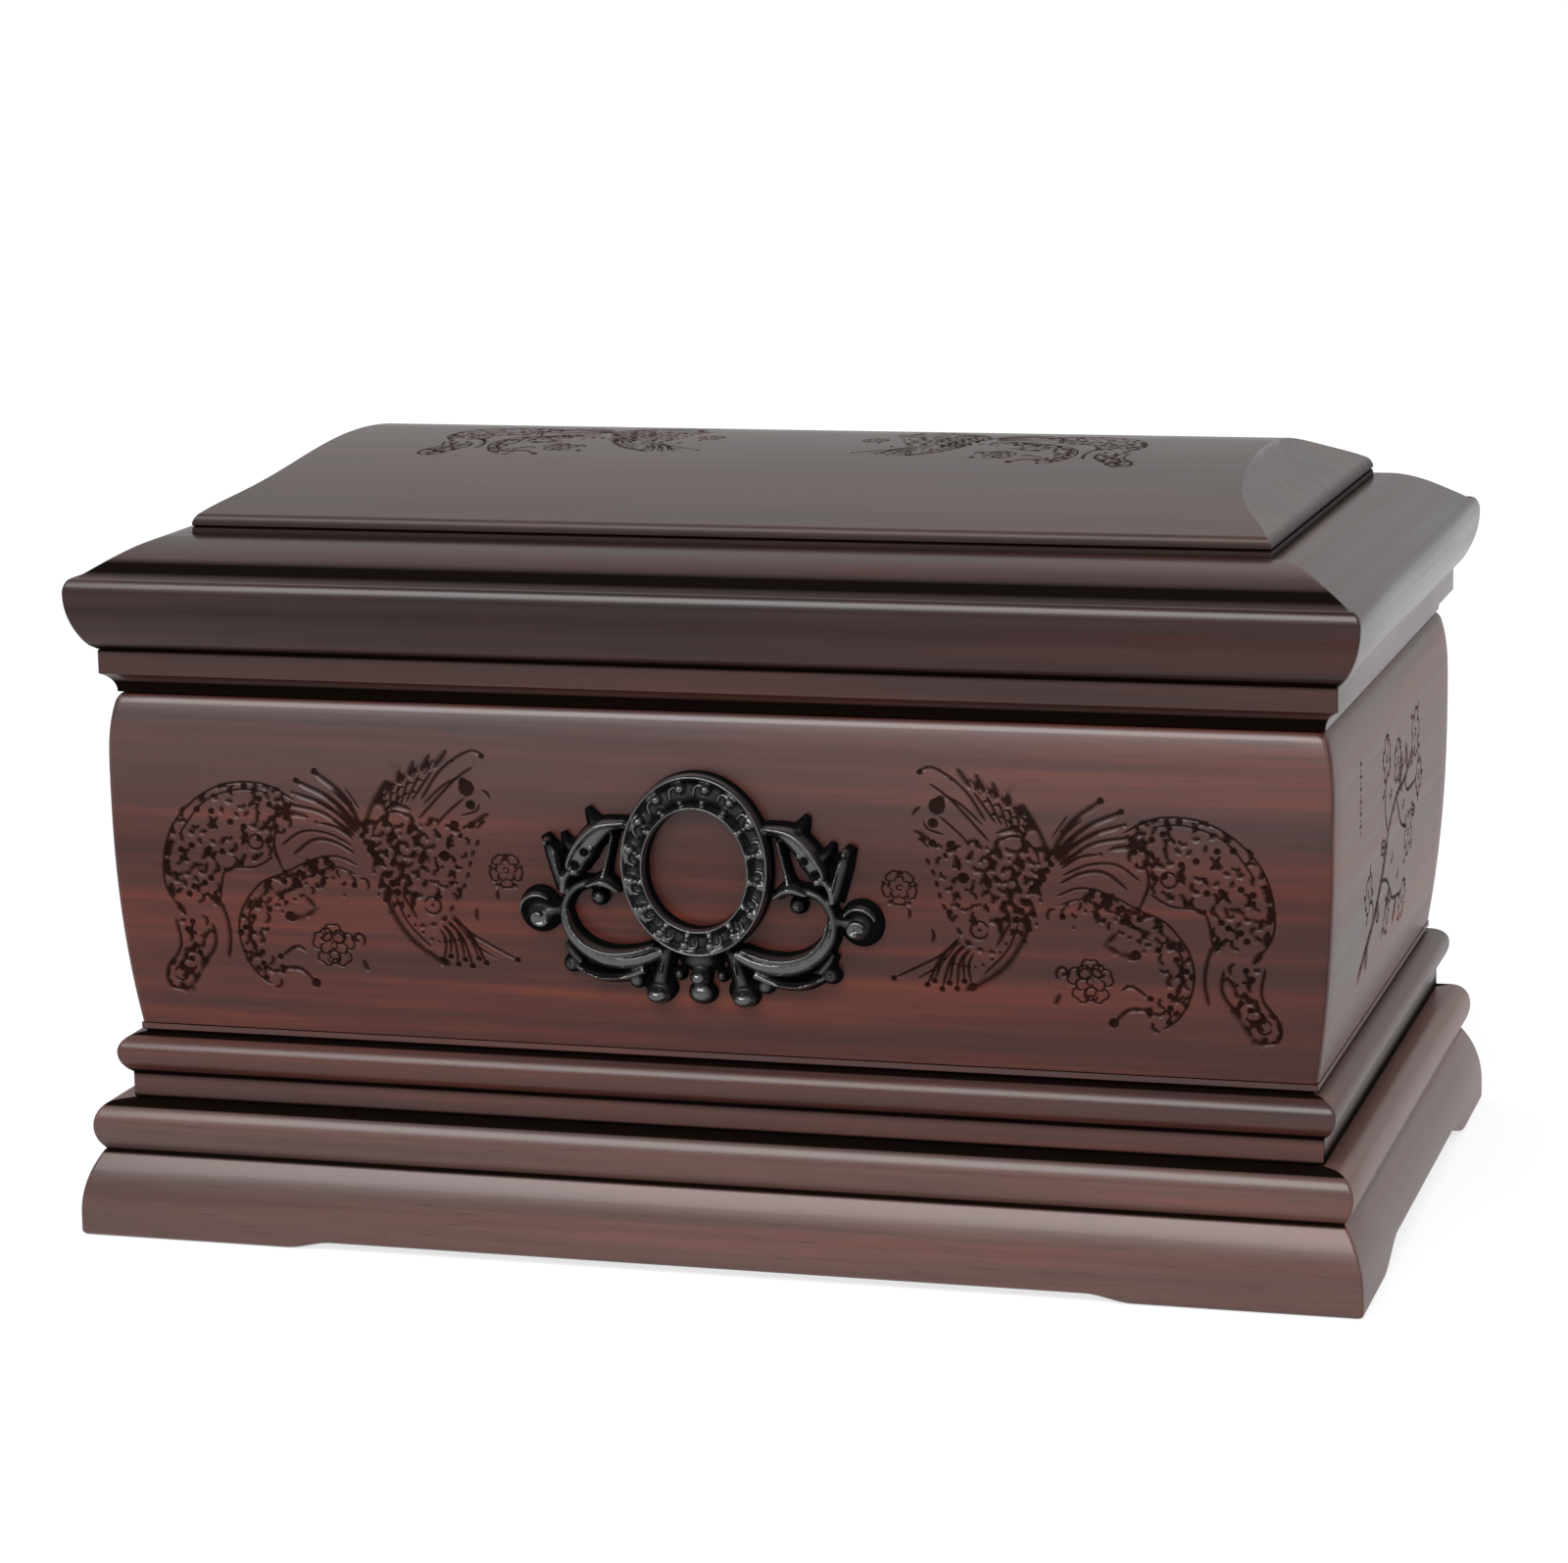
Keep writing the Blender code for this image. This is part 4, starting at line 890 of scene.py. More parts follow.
def draw_long_plume(d):
    """The arched plume and its spotted end."""
    outer = [(58, 51), (65, 54.8), (72, 55.6), (79, 54.4), (86, 50.4), (92, 43.8), (94.8, 35.5),
             (94.6, 27.5), (90, 20.5)]
    inner = [(60, 46), (64.5, 41.5), (66.5, 37), (71.5, 34), (76.5, 33.2), (80.5, 30.5), (80.5, 24)]
    d.pen(outer, 0.38)
    d.pen([(66, 53.2), (74, 53.6), (83.4, 50), (91, 40.6)], 0.36)
    d.dashes([(92.6, 40.5), (94, 33), (92.6, 25), (89.5, 20)], 5.6, 0.95)
    fill_plume(d, outer[:-1], inner, 19, 6, 0.92)
    d.pen([(42.5, 38), (48, 41), (54, 41.4), (60, 37)], 0.55)
    d.pen([(43, 40), (50, 43.2), (57, 43.4), (63, 39.4)], 0.46)
    d.pen([(64, 44), (64.6, 39), (62.3, 32.6)], 0.5)
    d.pen([(64.4, 37), (70, 33.8), (78, 32.6), (80.2, 24)], 0.42)
    d.ring((69.6, 40.2), 1.9, 0.46)
    d.pen([(82, 27), (79, 21.5), (78, 15), (79, 9)], 0.76)
    d.pen([(82.7, 19), (82.2, 13), (85.6, 7.7)], 0.76)
    d.dashes([(84.5, 9.4), (88, 3.8), (90.5, 0.6), (92.5, 2)], 4.2, 1.15)
    d.pen([(92.8, 20), (91.8, 12), (96.1, 5.6), (95.6, 1.4), (91.4, 0.3)], 0.52)
    d.dashes([(93, 8.4), (96, 5), (95.4, 0.8)], 3.2, 0.75)
    fill_plume(d, [(92, 20.5), (90.6, 12), (93.5, 5)], [(83.6, 21), (84.6, 12.4), (89.4, 5.4)], 9, 3, 0.88)
    d.ring((92.3, 4.6), 1.8, 0.44)


def draw_short_plume(d):
    """The second plume, which curls under the first, and the small curls beside it."""
    outer = [(41.6, 35), (48, 37.4), (55, 36), (62, 32.6), (69, 29.4), (74.5, 22), (75.2, 14),
             (72, 6.4), (67, 2.5)]
    inner = [(42, 32.6), (48, 34.6), (53.5, 33), (60.5, 29), (65, 24.5), (67.5, 18), (68.5, 12),
             (66, 8.5), (64, 8)]
    d.pen(outer, 0.40)
    d.pen(inner[:5], 0.34)
    d.pen([(67, 22), (68.6, 25), (72.4, 21.4), (72, 13.3), (69, 9.4)], 0.44)
    fill_plume(d, outer[1:], inner[1:], 19, 3, 0.9)
    fill_plume(d, inner[:5], [(42, 29.4), (48, 30.4), (53.5, 28.6), (59, 25.4), (63, 22)], 11, 2, 0.72)
    d.dashes([(56.7, 26.5), (54.4, 23.6), (57.4, 21.5), (61.1, 21)], 4.2, 1.1)
    for u, v, radius in ((61.3, 21.3, 1.55), (54, 33.8, 1.4), (58.2, 29.5, 1.05), (43.5, 30.1, 1.0),
                         (53.3, 29.3, 0.8), (46.2, 27.5, 0.75), (55.5, 3.9, 1.45), (64.7, 10.5, 1.0),
                         (75, 16.4, 1.1)):
        d.dot((u, v), radius)
    d.hook((50.6, 30), 1.8, 300, 0.65)
    d.hook((41.4, 30.2), 1.8, 60, 0.6)
    d.pen([(57.2, 11.8), (60, 13.4), (64.5, 10.5)], 0.56)
    d.pen([(55.7, 3.9), (59.5, 7.4), (65.5, 7.4)], 0.62)


def phoenix():
    """One phoenix that faces the ornament, its tail away from it."""
    d = Drawing()
    draw_wings(d)
    draw_head(d)
    draw_body(d)
    draw_legs(d)
    draw_long_plume(d)
    draw_short_plume(d)
    d.flower((50, 14), 5.4, 5)
    for centre in ((48.5, 16.4), (52, 16.8), (50.2, 11)):
        d.ring(centre, 1.7, 0.42)
    d.curl((43.4, 16), 2.2, 250, -0.9, 0.55)
    d.gouge([(42.6, 11), (41.8, 9.2), (40.8, 7.4)], 0.95)
    d.flower((3, 35.6), 4.2, 5, turn=0.9)
    for place in around((3, 35.2), 4.2, 2 * math.pi * np.arange(5) / 5 + 0.3):
        d.dot(place, 0.85)
    d.pen([(5, 31), (5.6, 29), (4.8, 27.5)], 0.5)
    return d.shifted(-MOTIF_DRAWN_MIDDLE, 0)


def twig():
    """The flowering branch of the left and right boards, and a column of short dashes beside it."""
    d = Drawing()
    stem = [(-46, 6), (-38, 11), (-28, 17), (-19, 25), (-10, 36), (2, 43), (16, 45), (30, 51)]
    d.pen(stem, 0.62)
    d.pen([(u + 0.6, v - 1.9) for u, v in stem[:5]], 0.5)
    for k, (u, v) in enumerate(smooth(stem, 6.5)[1:-1]):
        d.bow((u - 1.1, v - 0.4), (u + 0.8, v - 1.7), 0.3 if k % 2 else -0.3, 0.34)
    d.pen([(-19, 25), (-7, 23), (5, 16), (19, 14)], 0.52)
    d.pen([(-10, 36), (-16, 43), (-15, 52)], 0.5)
    d.pen([(2, 43), (11, 35), (22, 31)], 0.5)
    d.pen([(16, 45), (22, 41), (34, 41)], 0.46)
    d.pen([(-28, 17), (-30, 22), (-36, 24)], 0.46)
    for centre, size in (((-14.5, 56), 5.6), ((34, 54), 6.2), ((26, 29), 5.8), ((23, 11.5), 5.2),
                         ((-38, 26), 5.0), ((4, 52), 5.4), ((41, 41), 4.8), ((-4, 13), 4.4)):
        d.flower(centre, size, 5, rings=1, turn=centre[0])
        for k, place in enumerate(around(centre, 1.25 * size, 1.6 * np.arange(4) + centre[0])):
            d.hook(place, 1.4, 80 * k, 0.5)
    for bud in ((-2, 27), (10, 20.5), (-20, 47), (12, 49), (-8, 45), (27, 47), (14, 38), (-33, 12)):
        d.dot(bud, 0.9)
        d.curl((bud[0] + 1.3, bud[1] + 1.2), 1.3, 200, 0.8, 0.34)
    for root, tip in (((-24, 20.6), (-17, 14.6)), ((-2, 21), (-6, 14.4)), ((8, 44.2), (10, 54)),
                      ((20, 47), (17, 54.6)), ((-13, 33), (-22, 34.4)), ((12, 14.6), (9, 7.6)),
                      ((-36, 12.4), (-31, 5.2)), ((30, 34), (37, 32.6))):
        d.leaf(root, tip, 0.2)
    for k in range(6):
        v = 62 - 3.1 * k
        d.pen([(-57.4, v), (-55.4, v + 0.5), (-53.2, v - 0.2)], 0.44)
        d.pen([(-56.6, v - 1.5), (-54.2, v - 1.2)], 0.36)
    return d


def placed(drawing, origin, scale, mirror=1, boldness=CUT_BOLDNESS):
    """A drawing in metres on its surface: strokes as (line, half widths), pointed at both ends, and dots."""
    strokes, dots = [], []
    turn = np.array([mirror, 1]) * scale * MM
    for line, width in drawing.strokes:
        widths = np.ones(len(line)) * width * boldness * scale * MM
        widths[[0, -1]] = 0
        if np.isscalar(width) and len(line) > 4:
            widths[[1, -2]] *= 0.8
        strokes.append((line * turn + np.array(origin), widths))
    for centre, radius in drawing.dots:
        dots.append((centre * turn + np.array(origin), radius * scale * MM))
    return strokes, dots


def placed_pair(drawing, spacing, height, scale):
    """A drawing and its mirror image, each a spacing away from the middle."""
    left = placed(drawing, (-spacing, height), scale, -1)
    right = placed(drawing, (spacing, height), scale, 1)
    return left[0] + right[0], left[1] + right[1]


def groove_depth(points, strokes, dots):
    """Depth of the cut at each point: the deepest of the V-shaped grooves and pits that reach it."""
    depth = np.zeros(len(points))
    order = np.argsort(points[:, 0])
    across = points[order, 0]

    def within(low_corner, high_corner):
        first, last = np.searchsorted(across, [low_corner[0], high_corner[0]])
        chosen = order[first:last]
        inside = (points[chosen, 1] >= low_corner[1]) & (points[chosen, 1] <= high_corner[1])
        return chosen[inside]

    for line, widths in strokes:
        margin = widths.max()
        chosen = within(line.min(axis=0) - margin, line.max(axis=0) + margin)
        spots = points[chosen]
        best = depth[chosen]
        for a, b, wide_a, wide_b in zip(line[:-1], line[1:], widths[:-1], widths[1:]):
            step = b - a
            t = np.clip((spots - a) @ step / max(step @ step, 1e-12), 0, 1)
            away = np.linalg.norm(spots - a - t[:, None] * step, axis=1)
            best = np.maximum(best, GROOVE_SLOPE * (wide_a + (wide_b - wide_a) * t - away - GROOVE_MARGIN))
        depth[chosen] = best
    for centre, radius in dots:
        chosen = within(centre - radius, centre + radius)
        away = np.linalg.norm(points[chosen] - centre, axis=1)
        depth[chosen] = np.maximum(depth[chosen], GROOVE_SLOPE * (radius - away))
    depth[depth < GROOVE_LEAST] = 0
    return np.minimum(depth, GROOVE_FLOOR)


def triangulate(outline, lines, strokes, dots, loose):
    """Triangles of a region that hold its outline, its inner lines, its strokes, dots and loose points."""
    points, edges = [], []

    def add_chain(chain, closed=False):
        first = len(points)
        points.extend(tuple(p / MM for p in point) for point in chain)
        edges.extend((first + k, first + k + 1) for k in range(len(chain) - 1))
        if closed:
            edges.append((len(points) - 1, first))

    add_chain(outline, closed=True)
    for line in lines:
        add_chain(line)
    for line, widths in strokes:
        along = np.gradient(line, axis=0)
        along /= np.maximum(np.linalg.norm(along, axis=1)[:, None], 1e-9)
        normal = np.column_stack([-along[:, 1], along[:, 0]])
        add_chain(line)
        add_chain(line + normal * widths[:, None])
        add_chain(line - normal * widths[:, None])
    angles = np.linspace(0, 2 * math.pi, PIT_SIDES, endpoint=False)
    for centre, radius in dots:
        add_chain(around(centre, radius, angles), closed=True)
        points.append(tuple(centre / MM))
        if radius > WIDE_PIT:
            add_chain(around(centre, radius - PIT_STEP, angles), closed=True)
    points.extend(tuple(p / MM for p in point) for point in loose)
    inside_the_outline, merge_distance = 1, 1e-4
    verts, _, faces, *_ = delaunay_2d_cdt(points, edges, [], inside_the_outline, merge_distance)
    return np.array([(v[0], v[1]) for v in verts]) * MM, faces


def carve(shape, points, faces, depth, place):
    """Add the triangles to a bmesh at place(a, b, cut), with the groove's stain and crisp borders."""
    stain_and_shade = shape.verts.layers.float.new("stain_and_shade")
    verts = []
    for (a, b), cut in zip(points, depth):
        vert = shape.verts.new(place(a, b, cut))
        vert[stain_and_shade] = GROOVE_DARKNESS * min(cut / GROOVE_STAIN_DEPTH, 1.0)
        verts.append(vert)
    cut_faces = set()
    for corners in faces:
        face = shape.faces.new([verts[k] for k in corners])
        if any(depth[k] > 0 for k in corners):
            cut_faces.add(face)
    return [edge for edge in shape.edges if len(edge.link_faces) == 2
            and (edge.link_faces[0] in cut_faces) != (edge.link_faces[1] in cut_faces)]


def engraved(outline, lines, art, loose, place):
    """A bmesh of a region with its engraving cut in, and the borders of the grooves."""
    points, faces = triangulate(outline, lines, *art, loose)
    shape = bmesh.new()
    return shape, carve(shape, points, faces, groove_depth(points, *art), place)


def edge_marks(shape, edges):
    """The edges as pairs of vertex numbers, which the finished mesh keeps."""
    shape.verts.index_update()
    return {tuple(sorted(vert.index for vert in edge.verts)) for edge in edges}


def finish_engraved(node, shape, borders, material, side="front"):
    """A finished piece whose grooves keep crisp borders, whatever their angle."""
    marks = edge_marks(shape, borders)
    mesh = finish_mesh(node, shape, material, side, sharp=28)
    for edge in mesh.edges:
        if tuple(sorted(edge.vertices)) in marks:
            edge.use_edge_sharp = True


# Body

def body_reach(height):
    """How far the swelling wall stands out from the neck plane."""
    if height < BODY_BELLY_HEIGHT:
        below = (BODY_BELLY_HEIGHT - height) / BODY_BELLY_HEIGHT
        return BODY_BELLY - BODY_FOOT_DROP * below ** BODY_FOOT_POWER
    above = (height - BODY_BELLY_HEIGHT) / (BODY_HEIGHT - BODY_BELLY_HEIGHT)
    eased = clamp(1 - (BODY_HEIGHT - height) / BODY_TOP_EASE)
    swelling = BODY_BELLY * (1 - min(above, 1) ** BODY_HEAD_POWER)
    return swelling - BODY_TOP_DROP * (1 - math.sqrt(1 - eased ** 2))


def corner_drop(x, end):
    """How far a rounded vertical corner falls back from the face, near the end of the run."""
    turn = clamp((abs(x) - (end - BODY_CORNER)) / BODY_CORNER)
    return BODY_CORNER * (1 - math.sqrt(1 - turn * turn))


def body_wall(side, art, material):
    """A wall with a swelling, engraved outer face and a flat inner one."""
    run, stand = side_sizes(side)
    levels = list(np.linspace(0, BODY_BELLY_HEIGHT, 17)[:-1])
    levels += list(np.linspace(BODY_BELLY_HEIGHT, BODY_HEIGHT - BODY_TOP_EASE, 14))
    levels += [BODY_HEIGHT - share * BODY_TOP_EASE for share in BODY_TOP_STOPS]
    half_turn = BODY_CORNER * (1 - math.sqrt(0.5))
    right_edge = [(run + body_reach(z) - half_turn - SEAM, z) for z in levels]
    outline = [(-x, z) for x, z in reversed(right_edge)] + right_edge
    lines = []
    for angle in np.radians((0, 15, 30)):
        back = BODY_CORNER * (1 - math.sin(angle))
        for way in (-1, 1):
            lines.append([(way * (run + body_reach(z) - back), z) for z in levels])
    lines += [[(-x, z), (x, z)] for x, z in right_edge[-len(BODY_TOP_STOPS) - 1:-1]]
    columns = np.linspace(-run, run, 2 * round(run / BODY_COLUMN_SPACING) + 1)[1:-1]
    loose = [(x, z) for x in columns for z in levels]

    def place(x, z, cut):
        reach = body_reach(z)
        return x, -(stand + reach - corner_drop(x, run + reach) - cut), BODY_BASE + z

    shape, borders = engraved(outline, lines, art, loose, place)
    close_behind(shape, -(stand - WALL), run - WALL - SEAM)
    finish_engraved("body_" + side, shape, borders, material, side)


def close_behind(shape, back, half_run):
    """Close an open outer face with a flat back: four edge faces and the back itself."""
    rim = {v for e in shape.edges if e.is_boundary for v in e.verts}
    sliver = 0.01 * MM
    floor = sorted((v for v in rim if v.co.z < BODY_BASE + sliver), key=lambda v: v.co.x)
    roof = sorted((v for v in rim if v.co.z > BODY_BASE + BODY_HEIGHT - sliver), key=lambda v: v.co.x)
    rest = [v for v in rim if v not in floor and v not in roof]
    left = sorted((v for v in rest if v.co.x < 0), key=lambda v: v.co.z)
    right = sorted((v for v in rest if v.co.x > 0), key=lambda v: v.co.z)
    corner = {}
    for x in (-1, 1):
        for z in (0, 1):
            corner[x, z] = shape.verts.new((x * half_run, back, BODY_BASE + z * BODY_HEIGHT))
    shape.faces.new(floor + [corner[1, 0], corner[-1, 0]])
    shape.faces.new(roof + [corner[1, 1], corner[-1, 1]])
    shape.faces.new([floor[0]] + left + [roof[0], corner[-1, 1], corner[-1, 0]])
    shape.faces.new([floor[-1]] + right + [roof[-1], corner[1, 1], corner[1, 0]])
    shape.faces.new([corner[-1, 0], corner[1, 0], corner[1, 1], corner[-1, 1]])


def make_body(material, end_material):
    """Phoenixes on the front, a branch on each end, and a plain back."""
    scale = (BODY_HEIGHT - MOTIF_FOOT_MARGIN - MOTIF_HEAD_MARGIN) / (MOTIF_DRAWN_HEIGHT * MM)
    phoenixes = placed_pair(phoenix(), HALF_LENGTH - PHOENIX_END_MARGIN, MOTIF_FOOT_MARGIN, scale)
    body_wall("front", phoenixes, material)
    body_wall("back", ([], []), material)
    branch = twig()
    for side, way in (("right", 1), ("left", -1)):
        body_wall(side, placed(branch, (0, MOTIF_FOOT_MARGIN), scale, way, TWIG_BOLDNESS), end_material)


# Crown

def crown_profile():
    """Insets of the long and the short edges at shared heights above the crown's upright edge."""
    foot = CROWN_RISE - 0.72 * CROWN_ROUND_RISE
    radius = (CROWN_HALF_DEPTH ** 2 + foot ** 2) / (2 * foot)
    long_side = bezier([(0, 0), (0, 0.6 * CROWN_ROUND_RISE), (0.4 * CROWN_ROUND, 0.9 * CROWN_ROUND_RISE),
                        (CROWN_ROUND, CROWN_ROUND_RISE)], CROWN_ROUND_STEPS)
    for y in np.linspace(CROWN_HALF_DEPTH - CROWN_ROUND, 0, 25)[1:]:
        long_side.append((CROWN_HALF_DEPTH - y, CROWN_RISE - radius + math.sqrt(radius * radius - y * y)))
    bevel = np.array(bezier([(0, 0), (0.08 * CROWN_BEVEL, 0.34 * CROWN_RISE),
                             (0.875 * CROWN_BEVEL, 0.41 * CROWN_RISE), (CROWN_BEVEL, CROWN_RISE)], 80))
    long_insets, heights = zip(*long_side)
    short_insets = np.interp(heights, bevel[:, 1], bevel[:, 0])
    return long_insets, short_insets, heights


def crown_top(long_insets, short_insets):
    """The crown's outline from above, the lines and loose points that carry its form, and its engraving."""
    half_x = [CROWN_HALF_LENGTH - inset for inset in short_insets]
    half_y = [CROWN_HALF_DEPTH - inset for inset in long_insets]
    outline = [(-half_x[0], -half_y[0]), (half_x[0], -half_y[0]),
               (half_x[0], half_y[0]), (-half_x[0], half_y[0])]
    rounded = CROWN_ROUND_STEPS + 2
    lines = []
    for x, y in zip(half_x[1:rounded], half_y[1:rounded]):
        lines.append([(-x, -y), (x, -y), (x, y), (-x, y), (-x, -y)])
    for way in (-1, 1):
        lines += [[(way * x, -y), (way * x, y)] for x, y in zip(half_x[rounded:], half_y[rounded:])]
        for y_way in (-1, 1):
            lines.append([(way * x, y_way * y) for x, y in zip(half_x, half_y)])
    columns = np.linspace(-half_x[-1], half_x[-1], 2 * round(half_x[-1] / CROWN_COLUMN_SPACING) + 1)[1:-1]
    loose = [(x, way * y) for x in columns for y in half_y[rounded:-1] for way in (-1, 1)]
    loose += [(x, 0) for x in columns]
    bird = phoenix().shifted(0, -MOTIF_DRAWN_HEIGHT / 2)
    scale = CROWN_MOTIF_HEIGHT / (MOTIF_DRAWN_HEIGHT * MM)
    return outline, lines, placed_pair(bird, CROWN_MOTIF_SPACING, CROWN_MOTIF_SHIFT, scale), loose


def make_crown(material):
    """The arched board: engraved top, hollow ends, and an upright edge with a fine quirk."""
    long_insets, short_insets, heights = crown_profile()

    def place(x, y, cut):
        from_end = np.interp(CROWN_HALF_LENGTH - abs(x), short_insets, heights)
        from_side = np.interp(CROWN_HALF_DEPTH - abs(y), long_insets, heights)
        return x, y, CROWN_BASE + CROWN_EDGE + min(from_end, from_side) - cut

    shape, borders = engraved(*crown_top(long_insets, short_insets), place)
    stain_and_shade = shape.verts.layers.float["stain_and_shade"]
    # Painted shade on the upright edge and on the rounding just above it
    for vert in shape.verts:
        rise = vert.co.z - CROWN_BASE - CROWN_EDGE
        vert[stain_and_shade] = max(vert[stain_and_shade], CROWN_EDGE_SHADE * near(rise, 0, 1.2 * CROWN_ROUND_RISE))
    add_crown_edge(shape, stain_and_shade)
    finish_engraved("crown_panel", shape, borders, material)


def add_crown_edge(shape, stain_and_shade):
    """The upright edge from the rounding down to the seat, with its quirk, and the flat underside."""
    # Each step: its height, its inset and its painted shade, darkest in the quirk and under the board
    steps = [(CROWN_QUIRK_HEIGHT + CROWN_QUIRK_HALF_WIDTH, 0, CROWN_EDGE_SHADE),
             (CROWN_QUIRK_HEIGHT, CROWN_QUIRK_DEPTH, 1.0),
             (CROWN_QUIRK_HEIGHT - CROWN_QUIRK_HALF_WIDTH, 0, CROWN_EDGE_SHADE),
             (CROWN_SEAT + CROWN_EDGE_FOOT, 0, CROWN_EDGE_SHADE),
             (0, 0, 1.0)]
    corners = [vert for vert in shape.verts if vert.is_boundary]
    ring = sorted(corners, key=lambda vert: math.atan2(vert.co.y, vert.co.x))
    for height, inset, shade in steps:
        lower = []
        for vert in ring:
            x = math.copysign(CROWN_HALF_LENGTH - inset, vert.co.x)
            y = math.copysign(CROWN_HALF_DEPTH - inset, vert.co.y)
            corner = shape.verts.new((x, y, CROWN_BASE + height))
            corner[stain_and_shade] = shade
            lower.append(corner)
        bridge(shape, ring, lower)
        ring = lower
    shape.faces.new(ring)


# Ornament, in millimetres of its own drawing: u across, v up from its foot, h out of the wall

# Parts that stand low get painted shade and high tops stay bright, so the dark and bright parts named below
# come from their heights
OVAL_CENTRE = (0.0, 36.6)
OVAL_OUTER = (19.3, 23.2)
OVAL_OPENING_CENTRE = (0.0, 35.6)
OVAL_OPENING = (12.8, 14.8)
OVAL_STEPS = 128
BAND_HEIGHT = 3.3
RIM_HALF_WIDTH = 0.95
RIM_HEIGHT = 5.6
LIP_HALF_WIDTH = 0.75
LIP_HEIGHT = RIM_HEIGHT - 0.3
EGG_COUNT = 16
# A low skirt round each scroll, painted dark as shade, stands in for the scroll's unlit sides and its shadow
# on the wood
SHADOW_SKIRT_WIDTH = 0.5
SHADOW_SKIRT_HEIGHT = 2.4
TUBE_SIDES = 14
# Drilled holes, painted dark as shade and not cut
DRILLED_HOLES = (((28.0, 39.2), 1.0), ((30.6, 35.8), 1.1))


def add_tube(shape, line, widths, heights, closed=False, lift=0.0):
    """A round or flattened bar along a path that lies in the wall's plane."""
    line = np.array(line, float)
    if closed:
        along = np.roll(line, -1, axis=0) - np.roll(line, 1, axis=0)
    else:
        along = np.gradient(line, axis=0)
    along /= np.linalg.norm(along, axis=1)[:, None]
    normal = np.column_stack([-along[:, 1], along[:, 0]])
    widths, heights, lifts = (np.broadcast_to(value, len(line)) for value in (widths, heights, lift))
    rings = []
    for point, out, wide, tall, up in zip(line, normal, widths, heights, lifts):
        ring = []
        for k in range(TUBE_SIDES):
            angle = 2 * math.pi * k / TUBE_SIDES
            across = wide * math.cos(angle)
            ring.append(shape.verts.new((point[0] + out[0] * across, point[1] + out[1] * across,
                                         up + tall * math.sin(angle))))
        rings.append(ring)
    if closed:
        rings.append(rings[0])
    else:
        shape.faces.new(rings[0])
        shape.faces.new(rings[-1])
    for one, two in zip(rings[:-1], rings[1:]):
        bridge(shape, one, two)


def add_bead(shape, centre, radii):
    """A rounded boss whose middle lies in the wall's plane."""
    for vert in bmesh.ops.create_icosphere(shape, subdivisions=3, radius=1)["verts"]:
        vert.co = (centre[0] + vert.co.x * radii[0], centre[1] + vert.co.y * radii[1], vert.co.z * radii[2])


def add_scroll(shape, points, widths, height, way):
    """A bar through the given points, mirrored by way, its half widths spread evenly, on a low skirt that
    painted shade turns dark, standing in for the bar's unlit sides and its shadow.
    """
    line = smooth([(way * u, v) for u, v in points], 0.8)
    t = np.linspace(0, 1, len(line))
    sizes = np.interp(t, np.linspace(0, 1, len(widths)), widths)
    add_tube(shape, line, sizes, height * (0.55 + 0.45 * sizes / sizes.max()))
    # The skirt: low enough to take the painted shade, a dark stand-in for unlit sides and shadow
    add_tube(shape, line, sizes + SHADOW_SKIRT_WIDTH, SHADOW_SKIRT_HEIGHT)


def ring_point(angle, share):
    """A point on the ring's band, share 0 at the opening and 1 at its outer edge."""
    way = np.array([math.cos(angle), math.sin(angle)])
    inner = np.array(OVAL_OPENING_CENTRE) + way * np.array(OVAL_OPENING)
    outer = np.array(OVAL_CENTRE) + way * np.array(OVAL_OUTER)
    return inner + (outer - inner) * share


def add_oval(shape):
    """The oval ring: a band between a smooth rim and a low lip, with a row of eggs in raised petals."""
    angles = np.linspace(0, 2 * math.pi, OVAL_STEPS, endpoint=False)
    turn = np.column_stack([np.cos(angles), np.sin(angles)])
    inner = np.array(OVAL_OPENING_CENTRE) + turn * np.array(OVAL_OPENING)
    outer = np.array(OVAL_CENTRE) + turn * np.array(OVAL_OUTER)
    across = np.linalg.norm(outer - inner, axis=1)
    add_tube(shape, (inner + outer) / 2, 0.48 * across, BAND_HEIGHT, closed=True)
    rim = inner + (outer - inner) * (1 - RIM_HALF_WIDTH / across)[:, None]
    add_tube(shape, rim, RIM_HALF_WIDTH, RIM_HEIGHT, closed=True)
    lip = inner + (outer - inner) * (LIP_HALF_WIDTH / across)[:, None]
    add_tube(shape, lip, LIP_HALF_WIDTH, LIP_HEIGHT, closed=True)
    for k in range(EGG_COUNT):
        add_egg(shape, 2 * math.pi * (k + 0.5) / EGG_COUNT)


def add_egg(shape, angle):
    """One unit of the band's relief: a comma-shaped lobe under the rim, and a bead beside the opening."""
    half = math.pi / EGG_COUNT
    add_bead(shape, ring_point(angle, 0.62), (2.0, 2.0, 5.8))
    comma = [ring_point(angle, 0.72), ring_point(angle + 0.8 * half, 0.66), ring_point(angle + half, 0.38)]
    line = smooth(comma, 0.5)
    t = np.linspace(0, 1, len(line))
    add_tube(shape, line, 1.0 - 0.4 * t, 4.9 - 0.6 * t)
    add_bead(shape, ring_point(angle + 0.15 * half, 0.27), (1.4, 1.4, 5.6))


